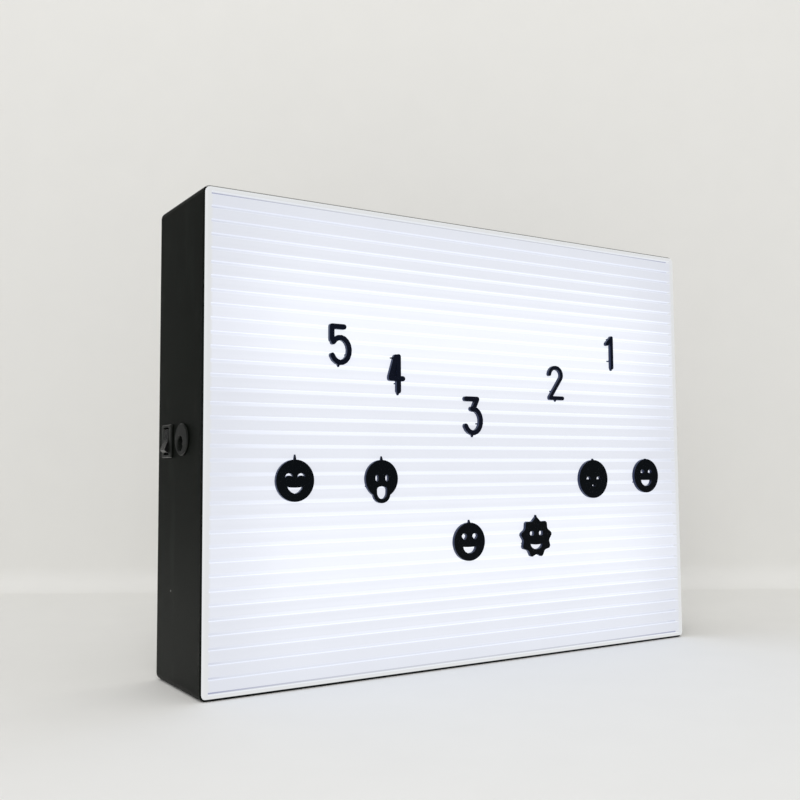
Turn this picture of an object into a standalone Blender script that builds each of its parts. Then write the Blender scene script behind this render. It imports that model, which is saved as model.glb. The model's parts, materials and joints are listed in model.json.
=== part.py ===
"""Letter light box: a black moulded case with a lit grooved panel and push-in figures.

Metres, +Z up. The panel faces -Y. The origin is the middle of the case's bottom face,
measured across the width and across the full depth from panel face to back.
"""

import math

import bpy
import bmesh
from mathutils import Vector
from mathutils.geometry import interpolate_bezier

# Overall size and fits
WIDTH = 0.290
HEIGHT = 0.220
DEPTH = 0.058
FIT = 0.0003
BACK_Y = DEPTH / 2
FACE_Y = -DEPTH / 2

# Case
WALL = 0.0022
CASE_CORNER = 0.0031
BACK_ROUND = 0.0018
INNER_FILLET = 0.0010
RIM_SETBACK = 0.0012
RIM_WALL = 0.0015
RIM_ROUND = 0.0003
REBATE_DEPTH = 0.0098
CORNER_STEPS = 4
SMALLEST_CORNER = 0.0005
RIM_Y = FACE_Y + RIM_SETBACK
FLOOR_Y = BACK_Y - WALL

# Grooved panel
PANEL_STEP = 0.0007
PANEL_THICKNESS = 0.0036
PANEL_EDGE_ROUND = 0.0008
SKIRT_THICKNESS = 0.0016
SLOT_COUNT = 36
SLOT_END = 0.00325
SLOT_PITCH = (HEIGHT - 2 * SLOT_END) / (SLOT_COUNT - 1)
SLOT_WIDTH = 0.0013
SLOT_DEPTH = 0.0024
SLOT_FLARE = 0.00035
SLOT_BORDER = 0.0033
SLOT_LENGTH = WIDTH - 2 * SLOT_BORDER
FIRST_SLOT_Z = SLOT_END
PANEL_BACK_Y = FACE_Y + PANEL_THICKNESS

# Push-in figures
FIGURE_THICKNESS = 0.0017
DIGIT_EDGE = 0.0004
FACE_EDGE = 0.0006
FIGURE_BACK_Y = FACE_Y - FIT
DIGIT_RISE = 0.0038
STROKE = 0.0025
SLIM_STROKE = 0.0021
WEB_SETBACK = 0.0004
PRONG_WIDTH = 0.0013
PRONG_LENGTH = 0.0018
PRONG_THICKNESS = SLOT_WIDTH - 2 * FIT
PRONG_SPREAD = 0.0066
NUB_WIDTH = 0.0013
NUB_LENGTH = 0.0009
DISC_DIAMETER = 0.0188
SLIM_DISC_DIAMETER = 0.0177
WIDE_DISC_DIAMETER = 0.0205
SUN_TIP_RADIUS = 0.0107
SUN_VALLEY_RADIUS = 0.0085
SUN_POINTS = 9

# Battery bay, cells and contacts
CELL_LENGTH = 0.0505
CELL_DIAMETER = 0.0145
CELL_BUTTON_DIAMETER = 0.0055
CELL_BUTTON_LENGTH = 0.0010
CELL_GAP = 0.0005
CELLS_PER_ROW = 2
ROW_COUNT = 3
PLATE = 0.0005
PLATE_WIDTH = 0.0090
SPRING_LENGTH = 0.0040
SPRING_TURNS = 3
SPRING_WIRE = 0.0007
SPRING_WIDE = 0.0064
SPRING_NARROW = 0.0042
TAG_LENGTH = 0.0050
TAG_WIDTH = 0.0030
BAY_WALL = 0.0018
BAY_Z = HEIGHT / 2
CELL_PITCH = CELL_DIAMETER + CELL_GAP
BAY_WIDTH = CELLS_PER_ROW * CELL_LENGTH + SPRING_LENGTH + 2 * PLATE + 6 * FIT
BAY_HEIGHT = (ROW_COUNT - 1) * CELL_PITCH + CELL_DIAMETER + 2 * FIT

# Battery door
DOOR_THICKNESS = 0.0020
DOOR_CORNER = 0.0020
LEDGE = 0.0023
TAB_X = 0.032
TAB_WIDTH = 0.010
TAB_THICKNESS = 0.0012
TAB_REACH = 0.0022
TAB_HOOK = 0.0009
TONGUE_WIDTH = 0.012
TONGUE_LENGTH = 0.008
TONGUE_SLIT = 0.0008
GRIP_DEPTH = 0.0005
GRIP_PITCH = 0.0016
GRIP_COUNT = 3
SCOOP_RADIUS = 0.0075
SCOOP_DEPTH = 0.0010
RECESS_Y = BACK_Y - DOOR_THICKNESS - FIT
DOOR_INNER_Y = BACK_Y - DOOR_THICKNESS
DOOR_WIDTH = BAY_WIDTH + 2 * (LEDGE - FIT)
DOOR_HEIGHT = BAY_HEIGHT + 2 * (LEDGE - FIT)
DOOR_BOTTOM_Z = BAY_Z - DOOR_HEIGHT / 2
BAY_BOTTOM_Z = BAY_Z - BAY_HEIGHT / 2
CELL_Y = DOOR_INNER_Y - FIT - CELL_DIAMETER / 2
BAY_FLOOR_Y = CELL_Y - CELL_DIAMETER / 2 - FIT

# Keyholes for a wall screw
KEYHOLE_INSET = 0.060
KEYHOLE_DROP = 0.036
KEYHOLE_X = WIDTH / 2 - KEYHOLE_INSET
KEYHOLE_Z = HEIGHT - KEYHOLE_DROP
KEYHOLE_HEAD = 0.0084
KEYHOLE_SLOT = 0.0042
KEYHOLE_RISE = 0.0075
KEYHOLE_POCKET_WIDTH = 0.0120
KEYHOLE_POCKET_DEPTH = 0.0058
KEYHOLE_POCKET_WALL = 0.0014

# Reflector and strips of diodes
REFLECTOR_THICKNESS = 0.0005
REFLECTOR_MARGIN = 0.0010
REFLECTOR_CUT_GAP = 0.0006
STRIP_INSET = 0.057
STRIP_MARGIN = 0.020
STRIP_Z = (STRIP_INSET, HEIGHT - STRIP_INSET)
STRIP_LENGTH = WIDTH - 2 * STRIP_MARGIN
STRIP_WIDTH = 0.010
STRIP_THICKNESS = 0.0010
DIODE_COUNT = 9
DIODE_END = 0.017
DIODE_PITCH = (STRIP_LENGTH - 2 * DIODE_END) / (DIODE_COUNT - 1)
DIODE_SIZE = (0.0050, 0.0014, 0.0034)
REFLECTOR_Y = FLOOR_Y - FIT - REFLECTOR_THICKNESS
STRIP_Y = REFLECTOR_Y - FIT - STRIP_THICKNESS

# Power inlet on the left wall
JACK_INSET = 0.0328
JACK_DROP = 0.0015
JACK_Y = BACK_Y - JACK_INSET
JACK_Z = HEIGHT / 2 - JACK_DROP
JACK_FLANGE_RISE = 0.0018
JACK_FLANGE_SHIFT = 0.0012
JACK_FLANGE_HALF = (0.0072, 0.0080)
JACK_FLANGE_THICKNESS = 0.0008
JACK_FLANGE_ROUND = 0.0004
JACK_BARREL_RADIUS = 0.0050
JACK_BARREL_LENGTH = 0.0140
JACK_HOLE_RADIUS = 0.0035
JACK_HOLE_DEPTH = 0.0105
JACK_PIN_RADIUS = 0.0010
JACK_PIN_SETBACK = 0.0012
JACK_TAIL = 0.0030
JACK_NUT_WIDTH = 0.0130
JACK_NUT_THICKNESS = 0.0025
JACK_SLEEVE_THICKNESS = 0.0004
JACK_SLEEVE_WIDTH = 0.0026

# Rocker switch on the left wall
SWITCH_INSET = 0.0147
SWITCH_Y = BACK_Y - SWITCH_INSET
SWITCH_Z = HEIGHT / 2
BEZEL_SIZE = (0.0152, 0.0130)
BEZEL_THICKNESS = 0.0008
BEZEL_CORNER = 0.0008
SWITCH_BODY_SIZE = (0.0140, 0.0090)
SWITCH_BODY_LENGTH = 0.0120
SWITCH_CAVITY_DEPTH = 0.0072
ROCKER_RADIUS = 0.0060
ROCKER_WIDTH = 0.0062
ROCKER_PIVOT_DEPTH = 0.0015
ROCKER_VALLEY = 0.0012
ROCKER_LEAN = 11.0
ROCKER_LOW_ANGLE = -14.0
ROCKER_PIN_RADIUS = 0.0008
ROCKER_PIN_LENGTH = 0.0007
BLADE_THICKNESS = 0.0008
BLADE_WIDTH = 0.0048
BLADE_LENGTH = 0.0065
BLADE_SEAT = 0.0020
BLADE_SPREAD = 0.0034

# Inner leads
LEAD_RADIUS = 0.0007
LEAD_SPACING = 0.010
LEAD_FEWEST = 3
LEAD_APPROACH = 0.0022
LEAD_LANE = 0.0030

WALL_X = -WIDTH / 2
TURN_OUTWARD = -math.pi / 2


def clear_scene():
    """Remove every object of the scene."""
    for item in list(bpy.data.objects):
        bpy.data.objects.remove(item, do_unlink=True)


def make_material(name, colour, roughness, metallic=0.0, glow=0.0):
    """A plain Principled material."""
    material = bpy.data.materials.new(name)
    material.use_nodes = True
    shader = material.node_tree.nodes["Principled BSDF"]
    shader.inputs["Base Color"].default_value = (*colour, 1.0)
    shader.inputs["Roughness"].default_value = roughness
    shader.inputs["Metallic"].default_value = metallic
    shader.inputs["Emission Color"].default_value = (*colour, 1.0)
    shader.inputs["Emission Strength"].default_value = glow
    return material


def new_object(name, mesh, material=None, parent=None, smooth=0.0):
    """Link a mesh or curve to the scene under a name."""
    item = bpy.data.objects.new(name, mesh)
    bpy.context.scene.collection.objects.link(item)
    if material:
        mesh.materials.append(material)
    if parent:
        item.parent = parent
    if smooth:
        mesh.shade_smooth()
        mesh.set_sharp_from_angle(angle=math.radians(smooth))
    return item


def new_empty(name, location=(0.0, 0.0, 0.0), parent=None):
    """An empty that carries the pieces of one moving or fixed group."""
    item = new_object(name, None, parent=parent)
    item.location = location
    return item


def mesh_from(name, work):
    """Turn a working mesh into a stored one with its faces pointing out."""
    bmesh.ops.recalc_face_normals(work, faces=work.faces)
    mesh = bpy.data.meshes.new(name)
    work.to_mesh(mesh)
    work.free()
    return mesh


def place(point, level, along):
    """Put a flat point at a level along an axis: across and up stay in their order."""
    across, up = point
    if along == "X":
        return Vector((level, across, up))
    if along == "Y":
        return Vector((across, level, up))
    return Vector((across, up, level))


def loft(name, sections):
    """A closed solid through equal rings of points, with a flat cap at each end."""
    work = bmesh.new()
    rings = [[work.verts.new(point) for point in section] for section in sections]
    count = len(rings[0])
    for lower, upper in zip(rings, rings[1:]):
        for index in range(count):
            follow = (index + 1) % count
            work.faces.new((lower[index], lower[follow], upper[follow], upper[index]))
    work.faces.new(list(reversed(rings[0])))
    work.faces.new(rings[-1])
    return mesh_from(name, work)


def prism(name, outline, low, high, along):
    """A flat outline drawn out between two levels along an axis."""
    levels = (low, high)
    return loft(name, [[place(point, level, along) for point in outline] for level in levels])


def box(name, low, high):
    """A plain block between two corners."""
    outline = ((low[0], low[1]), (high[0], low[1]), (high[0], high[1]), (low[0], high[1]))
    return prism(name, outline, low[2], high[2], "Z")


def boxes(name, corners):
    """Several separate blocks in one mesh, for one cut or one join."""
    work = bmesh.new()
    for low, high in corners:
        mesh = box(name, low, high)
        work.from_mesh(mesh)
        bpy.data.meshes.remove(mesh)
    return mesh_from(name, work)


def circle(radius, sides, centre=(0.0, 0.0)):
    """Points of a circle, counter-clockwise."""
    turns = (2 * math.pi * index / sides for index in range(sides))
    return [(centre[0] + radius * math.cos(turn), centre[1] + radius * math.sin(turn)) for turn in turns]


def arc(centre, radii, start, end, steps):
    """Points on an ellipse's arc between two angles in degrees."""
    points = []
    for step in range(steps + 1):
        turn = math.radians(start + (end - start) * step / steps)
        points.append((centre[0] + radii[0] * math.cos(turn), centre[1] + radii[1] * math.sin(turn)))
    return points


def rounded_rectangle(width, height, radius, centre=(0.0, 0.0), steps=CORNER_STEPS):
    """Points of a rectangle with round corners, counter-clockwise."""
    points = []
    for quarter in range(4):
        side = 1 if quarter in (0, 3) else -1
        top = 1 if quarter < 2 else -1
        corner = (centre[0] + side * (width / 2 - radius), centre[1] + top * (height / 2 - radius))
        points += arc(corner, (radius, radius), 90 * quarter, 90 * quarter + 90, steps)
    return points


def frame_ring(inset, level):
    """The case's outline, drawn in by an inset, at one depth."""
    radius = max(CASE_CORNER - inset, SMALLEST_CORNER)
    outline = rounded_rectangle(WIDTH - 2 * inset, HEIGHT - 2 * inset, radius, (0.0, HEIGHT / 2))
    return [place(point, level, "Y") for point in outline]


def turned(name, profile, sides):
    """A round solid about Z from pairs of radius and level."""
    rings = [[place(point, level, "Z") for point in circle(radius, sides)] for radius, level in profile]
    return loft(name, rings)


def combine(target, tool_mesh, operation):
    """Join a mesh to an object, or cut it from it, for good."""
    tool = new_object("tool", tool_mesh)
    bpy.context.view_layer.update()
    tool.matrix_world = target.matrix_world
    modifier = target.modifiers.new("combine", "BOOLEAN")
    modifier.operation = operation
    modifier.solver = "EXACT"
    modifier.object = tool
    bpy.context.view_layer.update()
    shaped = target.evaluated_get(bpy.context.evaluated_depsgraph_get())
    mesh = bpy.data.meshes.new_from_object(shaped)
    target.modifiers.clear()
    used = target.data
    target.data = mesh
    bpy.data.meshes.remove(used)
    mesh.name = target.name
    bpy.data.objects.remove(tool, do_unlink=True)
    bpy.data.meshes.remove(tool_mesh)


def join(target, tool_mesh):
    """Fuse a mesh with an object."""
    combine(target, tool_mesh, "UNION")


def cut(target, tool_mesh):
    """Take a mesh away from an object."""
    combine(target, tool_mesh, "DIFFERENCE")


def flatten(target):
    """Merge the flat faces that joins and cuts leave in pieces."""
    work = bmesh.new()
    work.from_mesh(target.data)
    bmesh.ops.remove_doubles(work, verts=work.verts, dist=0.000002)
    bmesh.ops.dissolve_limit(work, angle_limit=math.radians(0.5), verts=work.verts, edges=work.edges)
    work.to_mesh(target.data)
    work.free()


def shade(target, angle=35.0):
    """Smooth shading with sharp edges kept."""
    target.data.shade_smooth()
    target.data.set_sharp_from_angle(angle=math.radians(angle))


def soften_front(target, width):
    """Chamfer the edges round the front face of an upright figure."""
    work = bmesh.new()
    work.from_mesh(target.data)
    work.normal_update()
    rims = []
    for edge in work.edges:
        if len(edge.link_faces) != 2:
            continue
        facing = sorted(face.normal.y for face in edge.link_faces)
        if facing[0] < -0.999 and abs(facing[1]) < 0.02:
            rims.append(edge)
    bmesh.ops.bevel(work, geom=rims, offset=width, segments=1, affect="EDGES", clamp_overlap=True)
    work.to_mesh(target.data)
    work.free()


def make_case(materials, parent):
    """The moulded case: four walls, back, battery bay, keyholes and the holes of its left wall."""
    sections = [frame_ring(WALL + INNER_FILLET, FLOOR_Y)]
    sections.append(frame_ring(WALL + INNER_FILLET * 0.3, FLOOR_Y - INNER_FILLET * 0.3))
    sections.append(frame_ring(WALL, FLOOR_Y - INNER_FILLET))
    sections.append(frame_ring(WALL, RIM_Y + REBATE_DEPTH))
    sections.append(frame_ring(RIM_WALL, RIM_Y + REBATE_DEPTH))
    sections.append(frame_ring(RIM_WALL, RIM_Y))
    sections.append(frame_ring(RIM_ROUND, RIM_Y))
    sections.append(frame_ring(0.0, RIM_Y + RIM_ROUND))
    for turn in (0.0, 22.5, 45.0, 67.5, 90.0):
        inset = BACK_ROUND * (1 - math.cos(math.radians(turn)))
        level = BACK_Y - BACK_ROUND * (1 - math.sin(math.radians(turn)))
        sections.append(frame_ring(inset, level))
    case = new_object("rear_case", loft("rear_case", sections), materials["case"], parent)
    add_battery_bay(case)
    add_keyholes(case)
    cut_wall_holes(case)
    flatten(case)
    shade(case)
    return case


def bay_block(side_room, height_room, low_y, high_y):
    """A block over the battery bay, wider than the bay by a room on each side."""
    low = (-BAY_WIDTH / 2 - side_room, low_y, BAY_BOTTOM_Z - height_room)
    high = (BAY_WIDTH / 2 + side_room, high_y, BAY_BOTTOM_Z + BAY_HEIGHT + height_room)
    return low, high


def add_battery_bay(case):
    """The bay's walls, its ledge for the door, cell ribs and the slots of contacts and tabs."""
    inside_wall = (FLOOR_Y + BACK_Y) / 2
    join(case, box("bay", *bay_block(BAY_WALL, BAY_WALL, BAY_FLOOR_Y - BAY_WALL, inside_wall)))
    collar = LEDGE + BAY_WALL
    join(case, box("collar", *bay_block(collar, collar, RECESS_Y - BAY_WALL, inside_wall)))
    recess = rounded_rectangle(BAY_WIDTH + 2 * LEDGE, BAY_HEIGHT + 2 * LEDGE, DOOR_CORNER + FIT, (0.0, BAY_Z))
    beyond = BACK_Y + WALL
    cut(case, prism("recess", recess, RECESS_Y, beyond, "Y"))
    cut(case, box("cavity", *bay_block(0.0, 0.0, BAY_FLOOR_Y, beyond)))
    rib_half = 0.0008
    rib_height = 0.0030
    ribs = []
    for row in range(ROW_COUNT - 1):
        middle = BAY_Z + CELL_PITCH * (row + 0.5 - (ROW_COUNT - 1) / 2)
        low = (-BAY_WIDTH / 2 + 0.006, BAY_FLOOR_Y - BAY_WALL / 2, middle - rib_half)
        high = (BAY_WIDTH / 2 - 0.006, BAY_FLOOR_Y + rib_height, middle + rib_half)
        ribs.append((low, high))
    join(case, boxes("ribs", ribs))
    slots = []
    for side, row in ((-1, 0), (1, ROW_COUNT - 1)):
        inner = side * (BAY_WIDTH / 2 - BAY_WALL)
        outer = side * (BAY_WIDTH / 2 + 2 * BAY_WALL)
        low = (min(inner, outer), CELL_Y - PLATE / 2 - FIT, row_z(row) - TAG_WIDTH / 2 - FIT)
        high = (max(inner, outer), CELL_Y + PLATE / 2 + FIT, row_z(row) + TAG_WIDTH / 2 + FIT)
        slots.append((low, high))
    cut(case, boxes("tag_slots", slots))
    tab_inner = DOOR_INNER_Y - TAB_REACH
    under = []
    notches = []
    for x in (-TAB_X, TAB_X):
        half = TAB_WIDTH / 2 + 2 * FIT
        hook_end = BAY_BOTTOM_Z - LEDGE - TAB_HOOK - FIT
        under_high = tab_inner + TAB_THICKNESS + 2 * FIT
        under.append(((x - half, tab_inner - 0.0008, hook_end), (x + half, under_high, BAY_BOTTOM_Z + 0.0010)))
        notch_low = (x - half, tab_inner - 0.0004, BAY_BOTTOM_Z - LEDGE)
        notches.append((notch_low, (x + half, BACK_Y, BAY_BOTTOM_Z + 0.0008)))
    cut(case, boxes("tab_slots", under))
    cut(case, boxes("tab_notches", notches))
    scoop = circle(SCOOP_RADIUS, 24, (0.0, BAY_Z + BAY_HEIGHT / 2 + LEDGE))
    cut(case, prism("scoop", scoop, BACK_Y - SCOOP_DEPTH, beyond, "Y"))


def row_z(row):
    """Height of a row of cells, the first row on top."""
    return BAY_Z + CELL_PITCH * ((ROW_COUNT - 1) / 2 - row)


def keyhole_pocket(x, grow):
    """Corners of the pocket behind one keyhole, grown by a margin."""
    half = KEYHOLE_POCKET_WIDTH / 2 + grow
    low_z = KEYHOLE_Z - KEYHOLE_POCKET_WIDTH / 2 - grow
    high_z = KEYHOLE_Z + KEYHOLE_RISE + KEYHOLE_POCKET_WIDTH / 2 + grow
    return (x - half, low_z), (x + half, high_z)


def add_keyholes(case):
    """Two keyholes in the back, each with a closed pocket behind it."""
    skin_y = BACK_Y - WALL + 0.0002
    pocket_y = skin_y - KEYHOLE_POCKET_DEPTH
    blocks = []
    hollows = []
    for x in (-KEYHOLE_X, KEYHOLE_X):
        (left, low_z), (right, high_z) = keyhole_pocket(x, KEYHOLE_POCKET_WALL)
        blocks.append(((left, pocket_y - KEYHOLE_POCKET_WALL, low_z), (right, BACK_Y - WALL / 2, high_z)))
        (left, low_z), (right, high_z) = keyhole_pocket(x, 0.0)
        hollows.append(((left, pocket_y, low_z), (right, skin_y, high_z)))
    join(case, boxes("pockets", blocks))
    cut(case, boxes("pocket_hollows", hollows))
    for x in (-KEYHOLE_X, KEYHOLE_X):
        outline = keyhole_outline(x)
        cut(case, prism("keyhole", outline, skin_y - 0.0010, BACK_Y + WALL, "Y"))


def keyhole_outline(x):
    """A round hole for the screw's head with a narrow slot rising from it."""
    lean = math.degrees(math.asin(KEYHOLE_SLOT / KEYHOLE_HEAD))
    head = KEYHOLE_HEAD / 2
    neck = KEYHOLE_SLOT / 2
    points = arc((x, KEYHOLE_Z), (head, head), 90 + lean, 450 - lean, 24)
    points += arc((x, KEYHOLE_Z + KEYHOLE_RISE), (neck, neck), 0, 180, 8)
    return points


def cut_wall_holes(case):
    """The left wall's holes for the inlet's barrel and the switch's body."""
    inner_x = WALL_X + 2 * WALL
    outer_x = WALL_X - WALL
    hole = circle(JACK_BARREL_RADIUS + FIT, 24, (JACK_Y, JACK_Z))
    cut(case, prism("jack_hole", hole, outer_x, inner_x, "X"))
    height = SWITCH_BODY_SIZE[0] + 2 * FIT
    width = SWITCH_BODY_SIZE[1] + 2 * FIT
    low = (outer_x, SWITCH_Y - width / 2, SWITCH_Z - height / 2)
    high = (inner_x, SWITCH_Y + width / 2, SWITCH_Z + height / 2)
    cut(case, box("switch_hole", low, high))


def make_panel(materials, parent):
    """The grooved panel: a flange over the case's rim, a skirt inside it and long slots in its face."""
    plug = RIM_WALL + FIT
    flange_back = RIM_Y - FIT
    skirt_end = RIM_Y + REBATE_DEPTH - FIT
    sections = [frame_ring(plug + SKIRT_THICKNESS, PANEL_BACK_Y)]
    sections.append(frame_ring(plug + SKIRT_THICKNESS, skirt_end))
    sections.append(frame_ring(plug, skirt_end))
    sections.append(frame_ring(plug, flange_back))
    sections.append(frame_ring(PANEL_STEP, flange_back))
    for turn in (0.0, 30.0, 60.0, 90.0):
        inset = PANEL_STEP + PANEL_EDGE_ROUND * (1 - math.cos(math.radians(turn)))
        level = FACE_Y + PANEL_EDGE_ROUND * (1 - math.sin(math.radians(turn)))
        sections.append(frame_ring(inset, level))
    panel = new_object("front_panel", loft("front_panel", sections), materials["panel"], parent)
    cut(panel, slot_comb())
    flatten(panel)
    shade(panel)
    return panel


def slot_z(index):
    """Height of a slot's middle, the lowest slot being number 0."""
    return FIRST_SLOT_Z + SLOT_PITCH * index


def slot_comb():
    """One mesh of all the slots, each flared at the face."""
    work = bmesh.new()
    half = SLOT_WIDTH / 2
    ahead = 0.0010
    for index in range(SLOT_COUNT):
        z = slot_z(index)
        outline = [(FACE_Y + SLOT_DEPTH, z - half), (FACE_Y + SLOT_DEPTH, z + half)]
        outline += [(FACE_Y + SLOT_FLARE, z + half), (FACE_Y - ahead, z + half + SLOT_FLARE + ahead)]
        outline += [(FACE_Y - ahead, z - half - SLOT_FLARE - ahead), (FACE_Y + SLOT_FLARE, z - half)]
        mesh = prism("slot", outline, -SLOT_LENGTH / 2, SLOT_LENGTH / 2, "X")
        work.from_mesh(mesh)
        bpy.data.meshes.remove(mesh)
    return mesh_from("slots", work)


def make_reflector(materials, parent):
    """The white liner on the inside of the back, cut out round the bay and the keyhole pockets."""
    inset = WALL + REFLECTOR_MARGIN
    outline = rounded_rectangle(WIDTH - 2 * inset, HEIGHT - 2 * inset, 0.001, (0.0, HEIGHT / 2), 1)
    mesh = prism("reflector_sheet", outline, REFLECTOR_Y, REFLECTOR_Y + REFLECTOR_THICKNESS, "Y")
    sheet = new_object("reflector_sheet", mesh, materials["reflector"], parent)
    gap = LEDGE + BAY_WALL + REFLECTOR_CUT_GAP
    openings = [bay_block(gap, gap, REFLECTOR_Y - WALL, BACK_Y)]
    for x in (-KEYHOLE_X, KEYHOLE_X):
        (left, low_z), (right, high_z) = keyhole_pocket(x, KEYHOLE_POCKET_WALL + REFLECTOR_CUT_GAP)
        openings.append(((left, REFLECTOR_Y - WALL, low_z), (right, BACK_Y, high_z)))
    cut(sheet, boxes("openings", openings))
    flatten(sheet)


def make_strip(name, z, materials, parent):
    """A strip of diodes: a thin board with its diodes soldered on."""
    low = (-STRIP_LENGTH / 2, STRIP_Y, -STRIP_WIDTH / 2)
    high = (STRIP_LENGTH / 2, STRIP_Y + STRIP_THICKNESS, STRIP_WIDTH / 2)
    strip = new_object(name, box(name, low, high), materials["strip"], parent)
    diodes = []
    for index in range(DIODE_COUNT):
        x = DIODE_PITCH * (index - (DIODE_COUNT - 1) / 2)
        front = STRIP_Y - DIODE_SIZE[1]
        corner = (x - DIODE_SIZE[0] / 2, front, -DIODE_SIZE[2] / 2)
        diodes.append((corner, (x + DIODE_SIZE[0] / 2, STRIP_Y + STRIP_THICKNESS / 2, DIODE_SIZE[2] / 2)))
    join(strip, boxes("diodes", diodes))
    flatten(strip)
    strip.location.z = z


def make_door(materials, axis):
    """The bay's door: a plate with two hooked tabs below and a spring tongue above."""
    low_z = 0.0
    middle = (0.0, DOOR_HEIGHT / 2)
    outline = rounded_rectangle(DOOR_WIDTH, DOOR_HEIGHT, DOOR_CORNER, middle, 3)
    mesh = prism("battery_door", outline, -DOOR_THICKNESS, low_z, "Y")
    door = new_object("battery_door", mesh, materials["case"], axis)
    tab_low_z = -FIT - TAB_HOOK
    leg_low_z = BAY_BOTTOM_Z - DOOR_BOTTOM_Z + FIT
    inner = -DOOR_THICKNESS - TAB_REACH
    for x in (-TAB_X, TAB_X):
        side_points = [(inner, tab_low_z), (inner + TAB_THICKNESS, tab_low_z)]
        side_points += [(inner + TAB_THICKNESS, leg_low_z), (-DOOR_THICKNESS / 2, leg_low_z)]
        side_points += [(-DOOR_THICKNESS / 2, leg_low_z + TAB_THICKNESS), (inner, leg_low_z + TAB_THICKNESS)]
        join(door, prism("tab", side_points, x - TAB_WIDTH / 2, x + TAB_WIDTH / 2, "X"))
    slits = []
    for side in (-1, 1):
        x = side * TONGUE_WIDTH / 2
        low = (x - TONGUE_SLIT / 2, -2 * DOOR_THICKNESS, DOOR_HEIGHT - TONGUE_LENGTH)
        slits.append((low, (x + TONGUE_SLIT / 2, DOOR_THICKNESS, DOOR_HEIGHT + TONGUE_SLIT)))
    cut(door, boxes("slits", slits))
    grips = []
    for index in range(GRIP_COUNT):
        z = DOOR_HEIGHT - GRIP_PITCH * (index + 1)
        half = TONGUE_WIDTH / 2 - 2 * TONGUE_SLIT
        grips.append(((-half, -GRIP_DEPTH, z - GRIP_PITCH / 4), (half, GRIP_DEPTH, z + GRIP_PITCH / 4)))
    cut(door, boxes("grips", grips))
    flatten(door)
    shade(door)


def make_cells(materials, parent):
    """Six round cells in rows of two, end to end, rows lying in turn."""
    radius = CELL_DIAMETER / 2
    half = CELL_LENGTH / 2
    shoulder = half - CELL_BUTTON_LENGTH
    button = CELL_BUTTON_DIAMETER / 2
    round_edge = 0.0007
    profile = [(radius - round_edge, -half), (radius, -half + round_edge), (radius, shoulder - round_edge)]
    profile += [(radius - round_edge, shoulder), (button, shoulder), (button, half)]
    mesh = turned("battery_cell", profile, 16)
    mesh.materials.append(materials["cell"])
    mesh.shade_smooth()
    mesh.set_sharp_from_angle(angle=math.radians(35))
    number = 0
    for row in range(ROW_COUNT):
        side = row_side(row)
        for place_in_row in range(CELLS_PER_ROW):
            number += 1
            start = BAY_WIDTH / 2 - 2 * FIT - PLATE - place_in_row * (CELL_LENGTH + FIT) - half
            cell = new_object(f"battery_cell_{number}", mesh, parent=parent)
            cell.location = (side * start, CELL_Y, row_z(row))
            cell.rotation_euler = (0.0, side * math.pi / 2, 0.0)


def row_side(row):
    """The side, -1 left or 1 right, that a row's buttons point to."""
    return -1 if row % 2 == 0 else 1


def contact_mesh(name, side, low_row, high_row, tagged):
    """A sheet contact on a bay's end wall over one or two rows, with a tag through the wall or without."""
    low_z = row_z(low_row) - PLATE_WIDTH / 2
    high_z = row_z(high_row) + PLATE_WIDTH / 2
    outline = rounded_rectangle(PLATE_WIDTH, high_z - low_z, 0.0010, (CELL_Y, (low_z + high_z) / 2), 2)
    outer = side * (BAY_WIDTH / 2 - FIT)
    inner = outer - side * PLATE
    mesh = prism(name, outline, min(inner, outer), max(inner, outer), "X")
    if not tagged:
        return mesh, None
    end = side * (BAY_WIDTH / 2 + BAY_WALL + TAG_LENGTH)
    start = outer - side * PLATE / 2
    z = row_z(low_row)
    tag_low = (min(start, end), CELL_Y - PLATE / 2, z - TAG_WIDTH / 2)
    tag_high = (max(start, end), CELL_Y + PLATE / 2, z + TAG_WIDTH / 2)
    return mesh, box("tag", tag_low, tag_high)


def make_contacts(materials, parent):
    """Two terminal contacts with tags, two links between rows, and a spring at each flat cell end."""
    last = ROW_COUNT - 1
    plan = [("contact_plus", -1, 0, 0, True), ("contact_minus", 1, last, last, True)]
    plan += [("contact_link_left", -1, last, last - 1, False), ("contact_link_right", 1, 1, 0, False)]
    for name, side, low_row, high_row, tagged in plan:
        mesh, tag = contact_mesh(name, side, low_row, high_row, tagged)
        contact = new_object(name, mesh, materials["metal"], parent)
        if tag:
            join(contact, tag)
            flatten(contact)
    springs = (("spring_link_right", 0), ("spring_link_left", 1), ("spring_minus", last))
    for name, row in springs:
        make_spring(name, -row_side(row), row_z(row), materials, parent)


def make_spring(name, side, z, materials, parent):
    """A tapered coil spring that stands on a contact and presses on a cell's flat end."""
    root = BAY_WIDTH / 2 - 2 * FIT - PLATE
    thick = SPRING_WIRE / 2
    points = []
    steps = SPRING_TURNS * 8
    for step in range(steps + 1):
        share = step / steps
        radius = (SPRING_WIDE + (SPRING_NARROW - SPRING_WIDE) * share) / 2
        turn = 2 * math.pi * SPRING_TURNS * share
        reach = thick + (SPRING_LENGTH - 2 * thick) * share
        x = side * (root - reach)
        points.append((x, CELL_Y + radius * math.cos(turn), z + radius * math.sin(turn)))
    wire(name, points, thick, 1, materials["metal"], parent)


def wire(name, points, radius, resolution, material, parent):
    """A round wire along points."""
    curve = bpy.data.curves.new(name, "CURVE")
    curve.dimensions = "3D"
    curve.bevel_depth = radius
    curve.bevel_resolution = resolution
    curve.use_fill_caps = True
    spline = curve.splines.new("POLY")
    spline.points.add(len(points) - 1)
    for target, point in zip(spline.points, points):
        target.co = (*point, 1.0)
    return new_object(name, curve, material, parent)


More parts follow.
